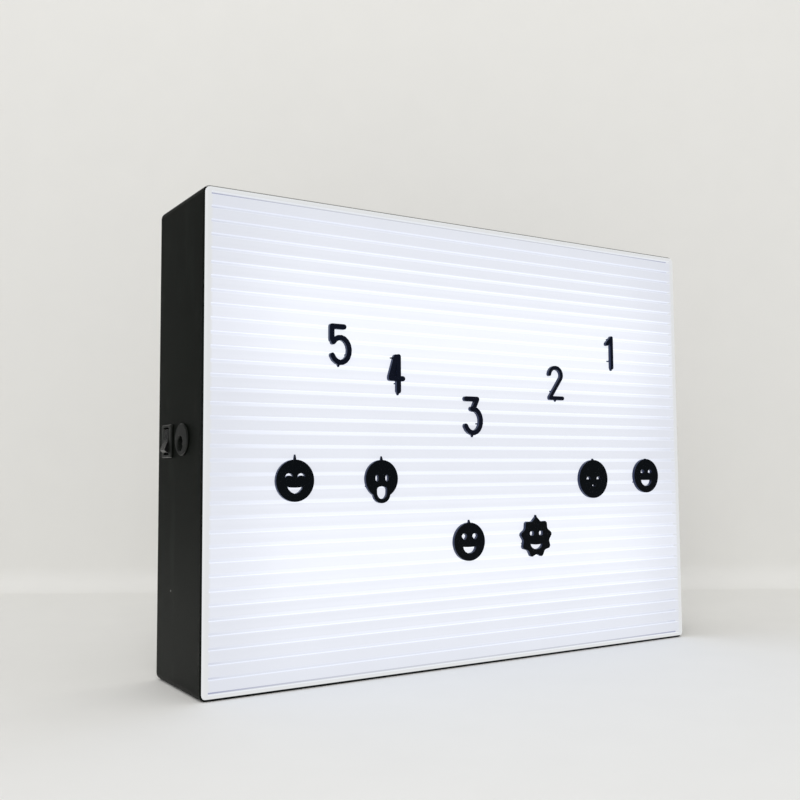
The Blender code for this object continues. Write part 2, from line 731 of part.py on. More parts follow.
def smooth_route(route):
    """Points along a smooth curve through a route's own points."""
    marks = [Vector(point) for point in route]
    last = len(marks) - 1
    travelled = [0.0]
    for start, end in zip(marks, marks[1:]):
        travelled.append(travelled[-1] + (end - start).length)
    slopes = []
    for index in range(last + 1):
        low = max(index - 1, 0)
        high = min(index + 1, last)
        slopes.append((marks[high] - marks[low]) / (travelled[high] - travelled[low]))
    points = []
    for index in range(last):
        span = travelled[index + 1] - travelled[index]
        start, end = marks[index], marks[index + 1]
        leave = start + slopes[index] * span / 3
        arrive = end - slopes[index + 1] * span / 3
        count = max(LEAD_FEWEST, math.ceil(span / LEAD_SPACING) + 1)
        points += interpolate_bezier(start, leave, arrive, end, count)[:-1]
    return [*points, marks[-1]]


def make_jack(materials, parent):
    """The power inlet: socket with an oval flange, its pin, its sleeve contact and its ring nut."""
    hub = new_empty("dc_jack", (WALL_X, JACK_Y, JACK_Z), parent)
    hub.rotation_euler = (0.0, TURN_OUTWARD, 0.0)
    top = FIT + JACK_FLANGE_THICKNESS
    bottom = FIT - JACK_BARREL_LENGTH
    centre = (JACK_FLANGE_RISE, -JACK_FLANGE_SHIFT)
    small = (JACK_FLANGE_HALF[0] - JACK_FLANGE_ROUND, JACK_FLANGE_HALF[1] - JACK_FLANGE_ROUND)
    levels = ((JACK_FLANGE_HALF, FIT), (JACK_FLANGE_HALF, top - JACK_FLANGE_ROUND), (small, top))
    sections = []
    for half, level in levels:
        outline = arc(centre, half, 0, 360 - 360 / 28, 27)
        sections.append([place(point, level, "Z") for point in outline])
    socket = new_object("dc_jack_socket", loft("dc_jack_socket", sections), materials["fitting"], hub)
    join(socket, prism("barrel", circle(JACK_BARREL_RADIUS, 24), bottom, FIT + JACK_FLANGE_THICKNESS / 2, "Z"))
    hole_bottom = top - JACK_HOLE_DEPTH
    rim = 0.0004
    hole = [(JACK_HOLE_RADIUS, hole_bottom), (JACK_HOLE_RADIUS, top - rim)]
    hole += [(JACK_HOLE_RADIUS + 2 * rim, top + rim)]
    cut(socket, turned("hole", hole, 20))
    cut(socket, turned("pin_hole", [(JACK_PIN_RADIUS + FIT, bottom - top), (JACK_PIN_RADIUS + FIT, top)], 12))
    sleeve_outer = -(JACK_HOLE_RADIUS - FIT)
    sleeve_inner = sleeve_outer + JACK_SLEEVE_THICKNESS
    half = JACK_SLEEVE_WIDTH / 2
    slot_low = (sleeve_outer - FIT, -half - FIT, bottom - top)
    cut(socket, box("sleeve_slot", slot_low, (sleeve_inner + FIT, half + FIT, hole_bottom + top)))
    flatten(socket)
    shade(socket)
    tail = bottom - JACK_TAIL
    pin_top = top - JACK_PIN_SETBACK
    profile = [(JACK_PIN_RADIUS, tail), (JACK_PIN_RADIUS, pin_top - JACK_PIN_RADIUS / 2)]
    profile += [(JACK_PIN_RADIUS / 2, pin_top)]
    new_object("dc_jack_pin", turned("dc_jack_pin", profile, 12), materials["metal"], hub, 35.0)
    sleeve = box("dc_jack_sleeve", (sleeve_outer, -half, tail), (sleeve_inner, half, top - 3 * JACK_PIN_SETBACK))
    new_object("dc_jack_sleeve", sleeve, materials["metal"], hub)
    nut_top = -WALL - FIT
    nut_shape = circle(JACK_NUT_WIDTH / 2 / math.cos(math.pi / 6), 6)
    nut_mesh = prism("dc_jack_nut", nut_shape, nut_top - JACK_NUT_THICKNESS, nut_top, "Z")
    nut = new_object("dc_jack_nut", nut_mesh, materials["metal"], hub)
    cut(nut, prism("bore", circle(JACK_BARREL_RADIUS + FIT, 24), nut_top - 2 * JACK_NUT_THICKNESS, 0.0, "Z"))
    shade(nut)


def make_switch(materials, parent):
    """The switch's bezel and body, its two blades, and the rocker on its own axis."""
    hub = new_empty("switch", (WALL_X, SWITCH_Y, SWITCH_Z), parent)
    hub.rotation_euler = (0.0, TURN_OUTWARD, 0.0)
    top = FIT + BEZEL_THICKNESS
    levels = ((0.0, FIT), (0.0, top - BEZEL_CORNER / 2), (BEZEL_CORNER / 2, top))
    sections = []
    for inset, level in levels:
        size = (BEZEL_SIZE[0] - 2 * inset, BEZEL_SIZE[1] - 2 * inset)
        outline = rounded_rectangle(size[0], size[1], BEZEL_CORNER, steps=3)
        sections.append([place(point, level, "Z") for point in outline])
    body = new_object("switch_body", loft("switch_body", sections), materials["fitting"], hub)
    half = (SWITCH_BODY_SIZE[0] / 2, SWITCH_BODY_SIZE[1] / 2)
    rear = FIT - SWITCH_BODY_LENGTH
    join(body, box("housing", (-half[0], -half[1], rear), (half[0], half[1], FIT + BEZEL_THICKNESS / 2)))
    room = (ROCKER_RADIUS + FIT, ROCKER_WIDTH / 2 + FIT)
    cavity_bottom = top - SWITCH_CAVITY_DEPTH
    cut(body, box("cavity", (-room[0], -room[1], cavity_bottom), (room[0], room[1], top + WALL)))
    pivot = -ROCKER_PIVOT_DEPTH
    pin_room = circle(ROCKER_PIN_RADIUS + FIT, 12, (0.0, pivot))
    reach = ROCKER_WIDTH / 2 + ROCKER_PIN_LENGTH + FIT
    cut(body, prism("pin_room", pin_room, -reach, reach, "Y"))
    seats = []
    for side in (-1, 1):
        x = side * BLADE_SPREAD
        low = (x - BLADE_THICKNESS / 2 - FIT, -BLADE_WIDTH / 2 - FIT, rear - BLADE_SEAT)
        seats.append((low, (x + BLADE_THICKNESS / 2 + FIT, BLADE_WIDTH / 2 + FIT, rear + BLADE_SEAT + FIT)))
    cut(body, boxes("seats", seats))
    flatten(body)
    shade(body)
    for name, side in (("switch_terminal_in", 1), ("switch_terminal_out", -1)):
        x = side * BLADE_SPREAD
        low = (x - BLADE_THICKNESS / 2, -BLADE_WIDTH / 2, rear - BLADE_LENGTH + BLADE_SEAT)
        high = (x + BLADE_THICKNESS / 2, BLADE_WIDTH / 2, rear + BLADE_SEAT)
        new_object(name, box(name, low, high), materials["metal"], hub)
    axis = new_empty("rocker_axis", (WALL_X + ROCKER_PIVOT_DEPTH, SWITCH_Y, SWITCH_Z), parent)
    axis.rotation_euler = (0.0, TURN_OUTWARD + math.radians(ROCKER_LEAN), 0.0)
    make_rocker(materials, axis)


def make_rocker(materials, axis):
    """The rocker about its own pivot: round ends, two sloping halves and a pin on each side."""
    valley = ROCKER_PIVOT_DEPTH + ROCKER_VALLEY
    slope = math.tan(math.radians(ROCKER_LEAN))
    corner_angle = rocker_corner_angle(valley, slope)
    outline = arc((0.0, 0.0), (ROCKER_RADIUS, ROCKER_RADIUS), ROCKER_LOW_ANGLE, corner_angle, 6)
    blend_half = 0.0012
    for x in (blend_half, 0.0, -blend_half):
        outline.append((x, valley + slope * abs(x) * (1.0 if x else 0.0) + (0.0 if x else slope * blend_half / 2)))
    outline += [(-x, z) for x, z in reversed(outline[:7])]
    mesh = prism("switch_rocker", outline, -ROCKER_WIDTH / 2, ROCKER_WIDTH / 2, "Y")
    rocker = new_object("switch_rocker", mesh, materials["rocker"], axis)
    reach = ROCKER_WIDTH / 2 + ROCKER_PIN_LENGTH
    join(rocker, prism("pins", circle(ROCKER_PIN_RADIUS, 12), -reach, reach, "Y"))
    flatten(rocker)
    shade(rocker, 30.0)


def rocker_corner_angle(valley, slope):
    """The angle at which the sloping face meets the round end, in degrees."""
    lean = math.atan(slope)
    return math.degrees(lean + math.asin(valley * math.cos(lean) / ROCKER_RADIUS))


def stroke_outline(points, width):
    """The outline of a pen stroke of even width with round ends."""
    half = width / 2
    left = []
    right = []
    for index, point in enumerate(points):
        before = Vector(points[max(index - 1, 0)])
        after = Vector(points[min(index + 1, len(points) - 1)])
        run = (after - before).normalized()
        left.append((point[0] - run.y * half, point[1] + run.x * half))
        right.append((point[0] + run.y * half, point[1] - run.x * half))
    first = Vector(points[0]) - Vector(points[1])
    last = Vector(points[-1]) - Vector(points[-2])
    start_turn = math.degrees(math.atan2(first.y, first.x))
    end_turn = math.degrees(math.atan2(last.y, last.x))
    end_cap = arc(points[-1], (half, half), end_turn - 90, end_turn + 90, 6)[1:-1]
    start_cap = arc(points[0], (half, half), start_turn - 90, start_turn + 90, 6)[1:-1]
    return right + end_cap + list(reversed(left)) + start_cap


def digit_plans():
    """Each digit's stroke width, strokes about its middle, nub and two prong places."""
    upper = 2 * SLOT_PITCH - DIGIT_RISE
    lower = -DIGIT_RISE
    five_bowl = arc((-0.0001, -0.0020), (0.0047, 0.0058), 142, -153, 15)
    five = [[(0.0018, 0.0088), (-0.0045, 0.0088)], [(-0.0045, 0.0088), (-0.0045, 0.0027)], five_bowl]
    four = [[(0.0011, 0.0089), (0.0011, -0.0075)], [(-0.0004, 0.0087), (-0.0034, -0.0010)]]
    four.append([(-0.0034, -0.0016), (0.0035, -0.0016)])
    three_bowl = arc((-0.0001, -0.0025), (0.0049, 0.0060), 98, -154, 14)
    three = [[(-0.0044, 0.0084), (0.0026, 0.0084)], [(0.0026, 0.0083), (0.0002, 0.0032)], three_bowl]
    two_hook = arc((-0.0004, 0.0047), (0.0041, 0.0039), 175, -24, 11)
    two = [two_hook, [two_hook[-1], (-0.0042, -0.0073)], [(-0.0042, -0.0076), (0.0043, -0.0076)]]
    one = [[(0.0016, 0.0089), (0.0016, -0.0076)], [(0.0016, 0.0087), (-0.0018, 0.0054)]]
    return {
        "digit_5": (STROKE, five, (-0.0010, -0.0090), ((-0.0020, upper), (0.0044, lower))),
        "digit_4": (STROKE, four, (0.0008, -0.0087), ((0.0011, upper), (0.0011, lower))),
        "digit_3": (STROKE, three, (-0.0005, -0.0098), ((-0.0010, upper), (0.0045, lower))),
        "digit_2": (SLIM_STROKE, two, (-0.0006, -0.0086), ((-0.0004, upper), (-0.0013, lower))),
        "digit_1": (SLIM_STROKE, one, (0.0012, -0.0085), ((0.0016, upper), (0.0016, lower))),
    }


def figure_places():
    """Each figure's place: across, the slot below its middle, and the rise of its middle over that slot."""
    shares = {
        "digit_5": (-0.2735, 24, DIGIT_RISE),
        "digit_4": (-0.1690, 22, DIGIT_RISE),
        "digit_3": (-0.0141, 19, DIGIT_RISE),
        "digit_2": (0.1752, 22, DIGIT_RISE),
        "digit_1": (0.3100, 25, DIGIT_RISE),
        "face_laughing": (-0.3531, 14, 0.0031),
        "face_open_mouth": (-0.1983, 14, 0.0035),
        "face_smile": (-0.0248, 9, 0.0026),
        "face_sun": (0.1221, 9, 0.0030),
        "face_calm": (0.2621, 14, 0.0021),
        "face_grin": (0.4000, 14, 0.0035),
    }
    return {name: (share * WIDTH, slot, rise) for name, (share, slot, rise) in shares.items()}


def figure_prism(outline):
    """A figure's outline at full thickness, from its own back face forward."""
    return prism("figure", outline, -FIGURE_THICKNESS, 0.0, "Y")


def add_prongs(figure, places):
    """Flat prongs that reach from the back of a figure into the slots."""
    blocks = []
    for x, z in places:
        low = (x - PRONG_WIDTH / 2, -FIGURE_THICKNESS / 2, z - PRONG_THICKNESS / 2)
        blocks.append((low, (x + PRONG_WIDTH / 2, PRONG_LENGTH + FIT, z + PRONG_THICKNESS / 2)))
    join(figure, boxes("prongs", blocks))


def add_nub(figure, foot, reach):
    """The small tapered stub where the figure was snapped off its runner: up, or down if negative."""
    inner = foot[1] - math.copysign(NUB_LENGTH, reach)
    tip = foot[1] + reach
    half = NUB_WIDTH / 2
    outline = [(foot[0] - half, inner), (foot[0] + half, inner), (foot[0] + half, foot[1])]
    outline += [(foot[0] + half / 3, tip), (foot[0] - half / 3, tip), (foot[0] - half, foot[1])]
    join(figure, prism("nub", outline, -FIGURE_THICKNESS * 0.8, -FIGURE_THICKNESS * 0.2, "Y"))


def finish_figure(figure, edge):
    """Flatten, soften and place a figure over its slot."""
    flatten(figure)
    soften_front(figure, edge)
    shade(figure, 40.0)
    x, slot, rise = figure_places()[figure.name]
    figure.location = (x, FIGURE_BACK_Y, slot_z(slot) + rise)


def make_digits(materials, parent):
    """Five digits, each of even strokes with round ends; a set-back web closes the 4."""
    for name, (width, strokes, nub, prongs) in digit_plans().items():
        first, *others = strokes
        figure = new_object(name, figure_prism(stroke_outline(first, width)), materials["figure"], parent)
        for stroke in others:
            join(figure, figure_prism(stroke_outline(stroke, width)))
        if name == "digit_4":
            web = [(0.0, 0.0080), (-0.0032, -0.0012), (0.0012, -0.0012), (0.0012, 0.0080)]
            join(figure, prism("web", web, WEB_SETBACK - FIGURE_THICKNESS, -WEB_SETBACK, "Y"))
            tick = [(0.0004, 0.0090), (-0.0034, 0.0083), (-0.0030, 0.0078), (0.0004, 0.0074)]
            join(figure, prism("tick", tick, WEB_SETBACK - FIGURE_THICKNESS, -WEB_SETBACK, "Y"))
        add_nub(figure, nub, -NUB_LENGTH)
        add_prongs(figure, prongs)
        finish_figure(figure, DIGIT_EDGE)


def drop_eye(x, z, width, height):
    """An eye, round above and pointed below."""
    half = width / 2
    middle = z + height / 2 - half
    points = arc((x, middle), (half, half), 0, 180, 8)
    points.append((x - half * 0.25, z - height / 2))
    points.append((x + half * 0.25, z - height / 2))
    return points


def oval_eye(x, z, width, height):
    """An upright oval eye."""
    return arc((x, z), (width / 2, height / 2), 0, 330, 11)


def arched_eye(x, z, width, height, thickness):
    """A closed laughing eye: an arch of even thickness."""
    outer = arc((x, z), (width / 2, height), 0, 180, 8)
    inner = arc((x, z), (width / 2 - thickness / 2, height - thickness), 180, 0, 8)
    return outer + inner[1:-1]


def half_eye(x, z, width, height):
    """An eye with a flat lower edge."""
    return arc((x, z - height / 2), (width / 2, height), 0, 180, 8)


def mouth(width, top, bottom, sag, steps=8):
    """An open mouth: its upper edge sags a little, its lower edge is a deep bow."""
    half = width / 2
    lower = arc((0.0, top), (half, top - bottom), 180, 360, steps)
    upper = arc((0.0, top), (half, sag), 360, 180, steps)[1:-1]
    return lower + upper


def laughing_mouth(width, top, bottom, sag):
    """A wide mouth whose lower edge comes to a blunt point."""
    half = width / 2
    drop = top - bottom
    shape = ((1.0, 0.0), (0.82, 0.42), (0.50, 0.78), (0.12, 0.98))
    left = [(-half * across, top - drop * down) for across, down in shape]
    right = [(half * across, top - drop * down) for across, down in reversed(shape)]
    return left + right + arc((0.0, top), (half, sag), 360, 180, 8)[1:-1]


def tall_mouth(width, top, bottom):
    """A wide-open mouth with a flattish upper edge and a long round lower part."""
    half = width / 2
    upper = arc((0.0, top - half * 0.5), (half, half * 0.5), 0, 180, 6)
    lower = arc((0.0, bottom + half * 1.15), (half, half * 1.15), 180, 360, 10)
    return upper + lower


def disc_outline(diameter):
    """The plain round outline of a face."""
    return circle(diameter / 2, 36)


def sun_outline():
    """A round outline with blunt rays, one of them straight up."""
    points = []
    per_ray = 6
    count = SUN_POINTS * per_ray
    for index in range(count):
        turn = 2 * math.pi * (index + 0.5) / count + math.pi / 2
        share = abs((index % per_ray + 0.5) / per_ray - 0.5) * 2
        radius = SUN_VALLEY_RADIUS + (SUN_TIP_RADIUS - SUN_VALLEY_RADIUS) * share ** 1.3
        points.append((radius * math.cos(turn), radius * math.sin(turn)))
    return points


def face_plans():
    """Each face's outline, its top, the length of its nub, and its openings."""
    laugh = [arched_eye(side * 0.0030, 0.0015, 0.0040, 0.0018, 0.0010) for side in (-1, 1)]
    laugh.append(laughing_mouth(0.0080, -0.0024, -0.0058, 0.0007))
    wow = [oval_eye(side * 0.0027, 0.0003, 0.0017, 0.0031) for side in (-1, 1)]
    wow.append(tall_mouth(0.0053, -0.0035, -0.0094))
    smile = [drop_eye(side * 0.0032, 0.0026, 0.0031, 0.0030) for side in (-1, 1)]
    smile.append(mouth(0.0077, -0.0023, -0.0057, 0.0003))
    sun = [oval_eye(side * 0.0030, 0.0021, 0.0028, 0.0026) for side in (-1, 1)]
    sun.append(mouth(0.0082, -0.0029, -0.0061, 0.0008))
    calm = [half_eye(side * 0.0036, 0.0006, 0.0030, 0.0015) for side in (-1, 1)]
    calm.append(mouth(0.0024, -0.0031, -0.0041, 0.0001, 6))
    grin = [drop_eye(side * 0.0029, 0.0024, 0.0030, 0.0022) for side in (-1, 1)]
    grin.append(mouth(0.0081, -0.0023, -0.0057, 0.0001))
    disc = disc_outline(DISC_DIAMETER)
    slim = disc_outline(SLIM_DISC_DIAMETER)
    wide = disc_outline(WIDE_DISC_DIAMETER)
    return {
        "face_laughing": (disc, DISC_DIAMETER / 2, 0.0025, laugh),
        "face_open_mouth": (slim, SLIM_DISC_DIAMETER / 2, 0.0020, wow),
        "face_smile": (disc, DISC_DIAMETER / 2, 0.0016, smile),
        "face_sun": (sun_outline(), SUN_TIP_RADIUS, 0.0011, sun),
        "face_calm": (wide, WIDE_DISC_DIAMETER / 2, 0.0010, calm),
        "face_grin": (disc, DISC_DIAMETER / 2, 0.0005, grin),
    }


def make_faces(materials, parent):
    """Six flat faces with open eyes and mouths; one has a long chin round its open mouth."""
    for name, (outline, top, nub, openings) in face_plans().items():
        rise = figure_places()[name][2]
        prongs = ((0.0, SLOT_PITCH - rise), (-PRONG_SPREAD, -rise), (PRONG_SPREAD, -rise))
        figure = new_object(name, figure_prism(outline), materials["figure"], parent)
        if name == "face_open_mouth":
            join(figure, figure_prism(arc((0.0, -0.0072), (0.0046, 0.0042), 0, 345, 23)))
            flatten(figure)
        for opening in openings:
            cut(figure, prism("opening", opening, -2 * FIGURE_THICKNESS, FIGURE_THICKNESS, "Y"))
        add_nub(figure, (0.0, top - FACE_EDGE / 2), nub)
        add_prongs(figure, prongs)
        finish_figure(figure, FACE_EDGE)


def lead_ends():
    """Where the inner leads meet the tags, blades and strips."""
    tag_x = BAY_WIDTH / 2 + BAY_WALL + TAG_LENGTH + FIT
    blade_x = WALL_X - FIT + SWITCH_BODY_LENGTH + BLADE_LENGTH - BLADE_SEAT + FIT
    tail_x = WALL_X - FIT + JACK_BARREL_LENGTH + JACK_TAIL + FIT
    strip_x = -STRIP_LENGTH / 2 - 2 * FIT
    strip_y = STRIP_Y
    sleeve_z = JACK_Z - JACK_HOLE_RADIUS + FIT + JACK_SLEEVE_THICKNESS / 2
    return {
        "plus": (-tag_x, CELL_Y, row_z(0)),
        "minus": (tag_x, CELL_Y, row_z(ROW_COUNT - 1)),
        "in_left": (blade_x, SWITCH_Y - 0.0014, SWITCH_Z + BLADE_SPREAD),
        "in_right": (blade_x, SWITCH_Y + 0.0014, SWITCH_Z + BLADE_SPREAD),
        "out": (blade_x, SWITCH_Y, SWITCH_Z - BLADE_SPREAD),
        "pin": (tail_x, JACK_Y, JACK_Z),
        "sleeve_left": (tail_x, JACK_Y - 0.0010, sleeve_z),
        "sleeve_right": (tail_x, JACK_Y + 0.0010, sleeve_z),
        "upper_plus": (strip_x, strip_y, STRIP_Z[1] + 0.0030),
        "upper_plus_link": (strip_x, strip_y, STRIP_Z[1] + 0.0010),
        "upper_minus_link": (strip_x, strip_y, STRIP_Z[1] - 0.0032),
        "lower_plus_link": (strip_x, strip_y, STRIP_Z[0] + 0.0010),
        "lower_minus_link": (strip_x, strip_y, STRIP_Z[0] + 0.0032),
        "lower_minus": (strip_x, strip_y, STRIP_Z[0] - 0.0030),
    }


def into_strip(end):
    """The last two points of a lead that meets a strip's end squarely."""
    return [(end[0] - LEAD_APPROACH, end[1], end[2]), end]


def beyond(point, across=0.0, along=0.0, up=0.0):
    """A point moved by numbers of lanes."""
    return (point[0] + across * LEAD_LANE, point[1] + along * LEAD_LANE, point[2] + up * LEAD_LANE)


def between(start, end, share, across=0.0, along=0.0, up=0.0):
    """A point at a share of the way between two others, moved by numbers of lanes."""
    middle = [first + (last - first) * share for first, last in zip(start, end)]
    return beyond(middle, across, along, up)


def make_leads(materials, parent):
    """The inner leads, from tag to tag along the case."""
    ends = lead_ends()
    plus, blade = ends["plus"], ends["in_right"]
    battery_plus = [plus, between(plus, blade, 0.19, up=0.4), between(plus, blade, 0.58)]
    battery_plus += [between(plus, blade, 0.86, up=-0.3), blade]
    pin, blade = ends["pin"], ends["in_left"]
    jack_plus = [pin, between(pin, blade, 0.06, 2.4), between(pin, blade, 0.47, 4.4)]
    jack_plus += [between(pin, blade, 0.90, 3.6), blade]
    minus, sleeve = ends["minus"], ends["sleeve_right"]
    lane_z = BAY_BOTTOM_Z - LEDGE - BAY_WALL - 2 * LEAD_LANE
    turn_x = 0.42 * BAY_WIDTH
    lane_end = (-turn_x, CELL_Y - LEAD_LANE / 3, lane_z)
    battery_minus = [minus, beyond(minus, 2.7, -0.2, -0.7)]
    battery_minus.append((minus[0] + 1.7 * LEAD_LANE, CELL_Y, lane_z + LEAD_LANE))
    battery_minus += [(turn_x, CELL_Y, lane_z), (0.0, CELL_Y, lane_z - LEAD_LANE / 3), lane_end]
    battery_minus.append(between(lane_end, sleeve, 0.48, 0.0, 1.6, -1.9))
    battery_minus.append(between(lane_end, sleeve, 0.78, 0.0, 0.7, -0.4))
    battery_minus += [between(lane_end, sleeve, 0.92, 0.0, -0.3, 0.4), sleeve]
    out, strip = ends["out"], ends["upper_plus"]
    switch_out = [out, beyond(out, 3.2, 0.4, 0.1), between(out, strip, 0.16, 6.0, 1.3)]
    switch_out += [between(out, strip, 0.65, 3.5, -0.9), beyond(strip, -1.1, -1.1, 2.0)]
    switch_out += into_strip(strip)
    sleeve, strip = ends["sleeve_left"], ends["lower_minus"]
    strip_minus = [sleeve, beyond(sleeve, 2.7, -0.4, -0.8), between(sleeve, strip, 0.38, 3.0, -1.5)]
    strip_minus += [between(sleeve, strip, 0.845, 1.7, -1.0), beyond(strip, -1.5, -0.4, -1.0)]
    strip_minus += into_strip(strip)
    upper, lower = ends["upper_plus_link"], ends["lower_plus_link"]
    link_plus = [*reversed(into_strip(upper)), beyond(upper, -2.3, -0.3, -2.3)]
    link_plus += [between(upper, lower, 0.5, -2.6, -0.4), beyond(lower, -2.3, -0.3, 2.0)]
    link_plus += into_strip(lower)
    upper, lower = ends["upper_minus_link"], ends["lower_minus_link"]
    link_minus = [*reversed(into_strip(upper)), beyond(upper, -1.3, -0.3, -2.3)]
    link_minus += [between(upper, lower, 0.5, -1.6, -0.4), beyond(lower, -1.3, -0.3, 2.2)]
    link_minus += into_strip(lower)
    plan = {
        "lead_battery_plus": (battery_plus, "red"),
        "lead_jack_plus": (jack_plus, "red"),
        "lead_battery_minus": (battery_minus, "black"),
        "lead_switch_out": (switch_out, "red"),
        "lead_strip_minus": (strip_minus, "black"),
        "lead_link_plus": (link_plus, "red"),
        "lead_link_minus": (link_minus, "black"),
    }
    for name, (route, colour) in plan.items():
        wire(name, smooth_route(route), LEAD_RADIUS, 2, materials[colour], parent)


def make_materials():
    """The finishes of all pieces."""
    return {
        "case": make_material("case_black", (0.020, 0.021, 0.018), 0.55),
        "panel": make_material("panel_white", (0.86, 0.87, 0.92), 0.35, glow=0.8),
        "figure": make_material("figure_black", (0.008, 0.008, 0.010), 0.40),
        "fitting": make_material("fitting_black", (0.018, 0.019, 0.019), 0.38),
        "rocker": make_material("rocker_black", (0.012, 0.012, 0.012), 0.22),
        "metal": make_material("contact_metal", (0.62, 0.60, 0.56), 0.28, 1.0),
        "cell": make_material("cell_sleeve", (0.10, 0.11, 0.13), 0.35),
        "strip": make_material("strip_white", (0.82, 0.82, 0.80), 0.45),
        "reflector": make_material("reflector_white", (0.88, 0.88, 0.87), 0.60),
        "red": make_material("lead_red", (0.55, 0.02, 0.015), 0.40),
        "black": make_material("lead_black", (0.015, 0.015, 0.016), 0.40),
    }


def main():
    """Build the whole light box."""
    clear_scene()
    materials = make_materials()
    housing = new_empty("housing")
    door_axis = new_empty("door_axis", (0.0, BACK_Y, DOOR_BOTTOM_Z))
    make_case(materials, housing)
    make_panel(materials, housing)
    make_reflector(materials, housing)
    make_strip("led_strip_upper", STRIP_Z[1], materials, housing)
    make_strip("led_strip_lower", STRIP_Z[0], materials, housing)
    make_door(materials, door_axis)
    make_cells(materials, housing)
    make_contacts(materials, housing)
    make_jack(materials, housing)
    make_switch(materials, housing)
    make_digits(materials, housing)
    make_faces(materials, housing)
    make_leads(materials, housing)


main()
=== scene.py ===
"""Looks of the letter light box: materials for every piece, floor, backdrop, light and camera."""

import json
import math

import bmesh
import bpy
from bpy.props import FloatProperty, FloatVectorProperty, PointerProperty
from bpy.types import NodeSocket, Operator, Panel, PropertyGroup
from mathutils import Matrix, Vector

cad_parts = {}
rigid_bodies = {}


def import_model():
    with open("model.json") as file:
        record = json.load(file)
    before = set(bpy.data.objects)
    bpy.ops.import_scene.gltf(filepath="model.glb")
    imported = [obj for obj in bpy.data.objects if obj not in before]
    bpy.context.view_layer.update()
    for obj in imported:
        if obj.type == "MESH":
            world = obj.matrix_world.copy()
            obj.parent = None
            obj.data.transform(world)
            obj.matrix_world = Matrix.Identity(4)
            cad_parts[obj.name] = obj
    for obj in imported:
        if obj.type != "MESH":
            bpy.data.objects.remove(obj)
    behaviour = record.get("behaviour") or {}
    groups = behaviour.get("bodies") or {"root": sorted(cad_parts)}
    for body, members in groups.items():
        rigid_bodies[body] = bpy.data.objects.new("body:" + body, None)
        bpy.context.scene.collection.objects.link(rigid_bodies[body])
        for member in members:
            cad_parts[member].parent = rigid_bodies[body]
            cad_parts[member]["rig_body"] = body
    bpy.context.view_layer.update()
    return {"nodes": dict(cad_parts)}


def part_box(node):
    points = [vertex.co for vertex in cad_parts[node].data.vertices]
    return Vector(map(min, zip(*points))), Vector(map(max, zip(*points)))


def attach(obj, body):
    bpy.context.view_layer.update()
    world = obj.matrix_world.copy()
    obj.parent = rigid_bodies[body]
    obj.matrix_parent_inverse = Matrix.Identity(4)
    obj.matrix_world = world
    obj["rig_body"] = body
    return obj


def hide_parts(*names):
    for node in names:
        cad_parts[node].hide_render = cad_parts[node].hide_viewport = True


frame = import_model()

bl_info = {
    "name": "Letter Light Box Looks",
    "version": (1, 0, 0),
    "blender": (4, 5, 0),
    "location": "View3D > Sidebar > Light Box",
    "description": "Dresses the letter light box and sets its stage",
    "category": "Object",
}

NODES = frame["nodes"]
PANEL_LOW, PANEL_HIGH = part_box("front_panel")
CASE_LOW, CASE_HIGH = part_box("rear_case")
STRIP_LOW_Z = sum(corner.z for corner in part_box("led_strip_lower")) / 2
STRIP_HIGH_Z = sum(corner.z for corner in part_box("led_strip_upper")) / 2
FIGURES = sorted(name for name in NODES if name.startswith(("digit_", "face_")))
CELLS = sorted(name for name in NODES if name.startswith("battery_cell_"))
LEADS = sorted(name for name in NODES if name.startswith("lead_"))
METAL_NODES = sorted(
    name for name in NODES if name.startswith(("contact_", "spring_", "switch_terminal_"))
)
INLET_METAL_NODES = ["dc_jack_pin", "dc_jack_nut", "dc_jack_sleeve"]

FLAT_ANGLE = math.radians(0.5)
EDGE_ANGLE = math.radians(35)
# Painted highlight: height and depth of the pale band along the case's upper front rim.
PAINTED_RIM_HEIGHT = 0.0012
PAINTED_RIM_DEPTH = 0.0012
NICK_PLACE = (CASE_LOW.x, CASE_LOW.y + 0.0368, 0.0425)
NICK_RADIUS = 0.0006
CELL_WRAP_START = 0.0016
CELL_BAND_START = 0.0100
CELL_BAND_END = 0.0115
CELL_EDGE_BLUR = 0.0002
PAD_PITCH = 0.027
PAD_OFFSET = 0.0045
PAD_SHARE = 0.050

SENSOR_WIDTH = 36.0
CLIP_START = 0.01
FLOOR_NEAR = -2.5
FLOOR_REACH = 2.6
BACKDROP_HEIGHT = 2.2
SWEEP_STEPS = 12
KEY_PLACE = (-0.25, -0.38, 1.50)
KEY_TARGET = (-0.05, -0.08, 0.0)
KEY_SIZE = (1.5, 1.5)
KEY_COLOUR = (1.0, 1.0, 0.98)
FILL_PLACE = (-0.9, -1.2, 1.2)
FILL_TARGET = (0.1, 0.4, 0.45)
FILL_SIZE = (1.2, 1.0)
FILL_COLOUR = (1.0, 0.99, 0.97)
ROOM_SEEN = (0.76, 0.75, 0.73, 1.0)
ROOM_SOFT = (0.98, 0.98, 1.0, 1.0)
ROOM_GLOSSY = (0.95, 0.97, 1.0, 1.0)


def colour_property(name, description, default):
    """A linear colour that the user can change."""
    return FloatVectorProperty(
        name=name,
        description=description,
        default=default,
        subtype="COLOR",
        size=3,
        min=0.0,
        max=1.0,
    )


def length_property(name, description, default, low=0.0):
    """A length in metres that the user can change."""
    return FloatProperty(
        name=name,
        description=description,
        default=default,
        min=low,
        max=10.0,
        precision=5,
        subtype="DISTANCE",
        unit="LENGTH",
    )


def share_property(name, description, default):
    """A number from 0 to 1 that the user can change."""
    return FloatProperty(name=name, description=description, default=default, min=0.0, max=1.0)


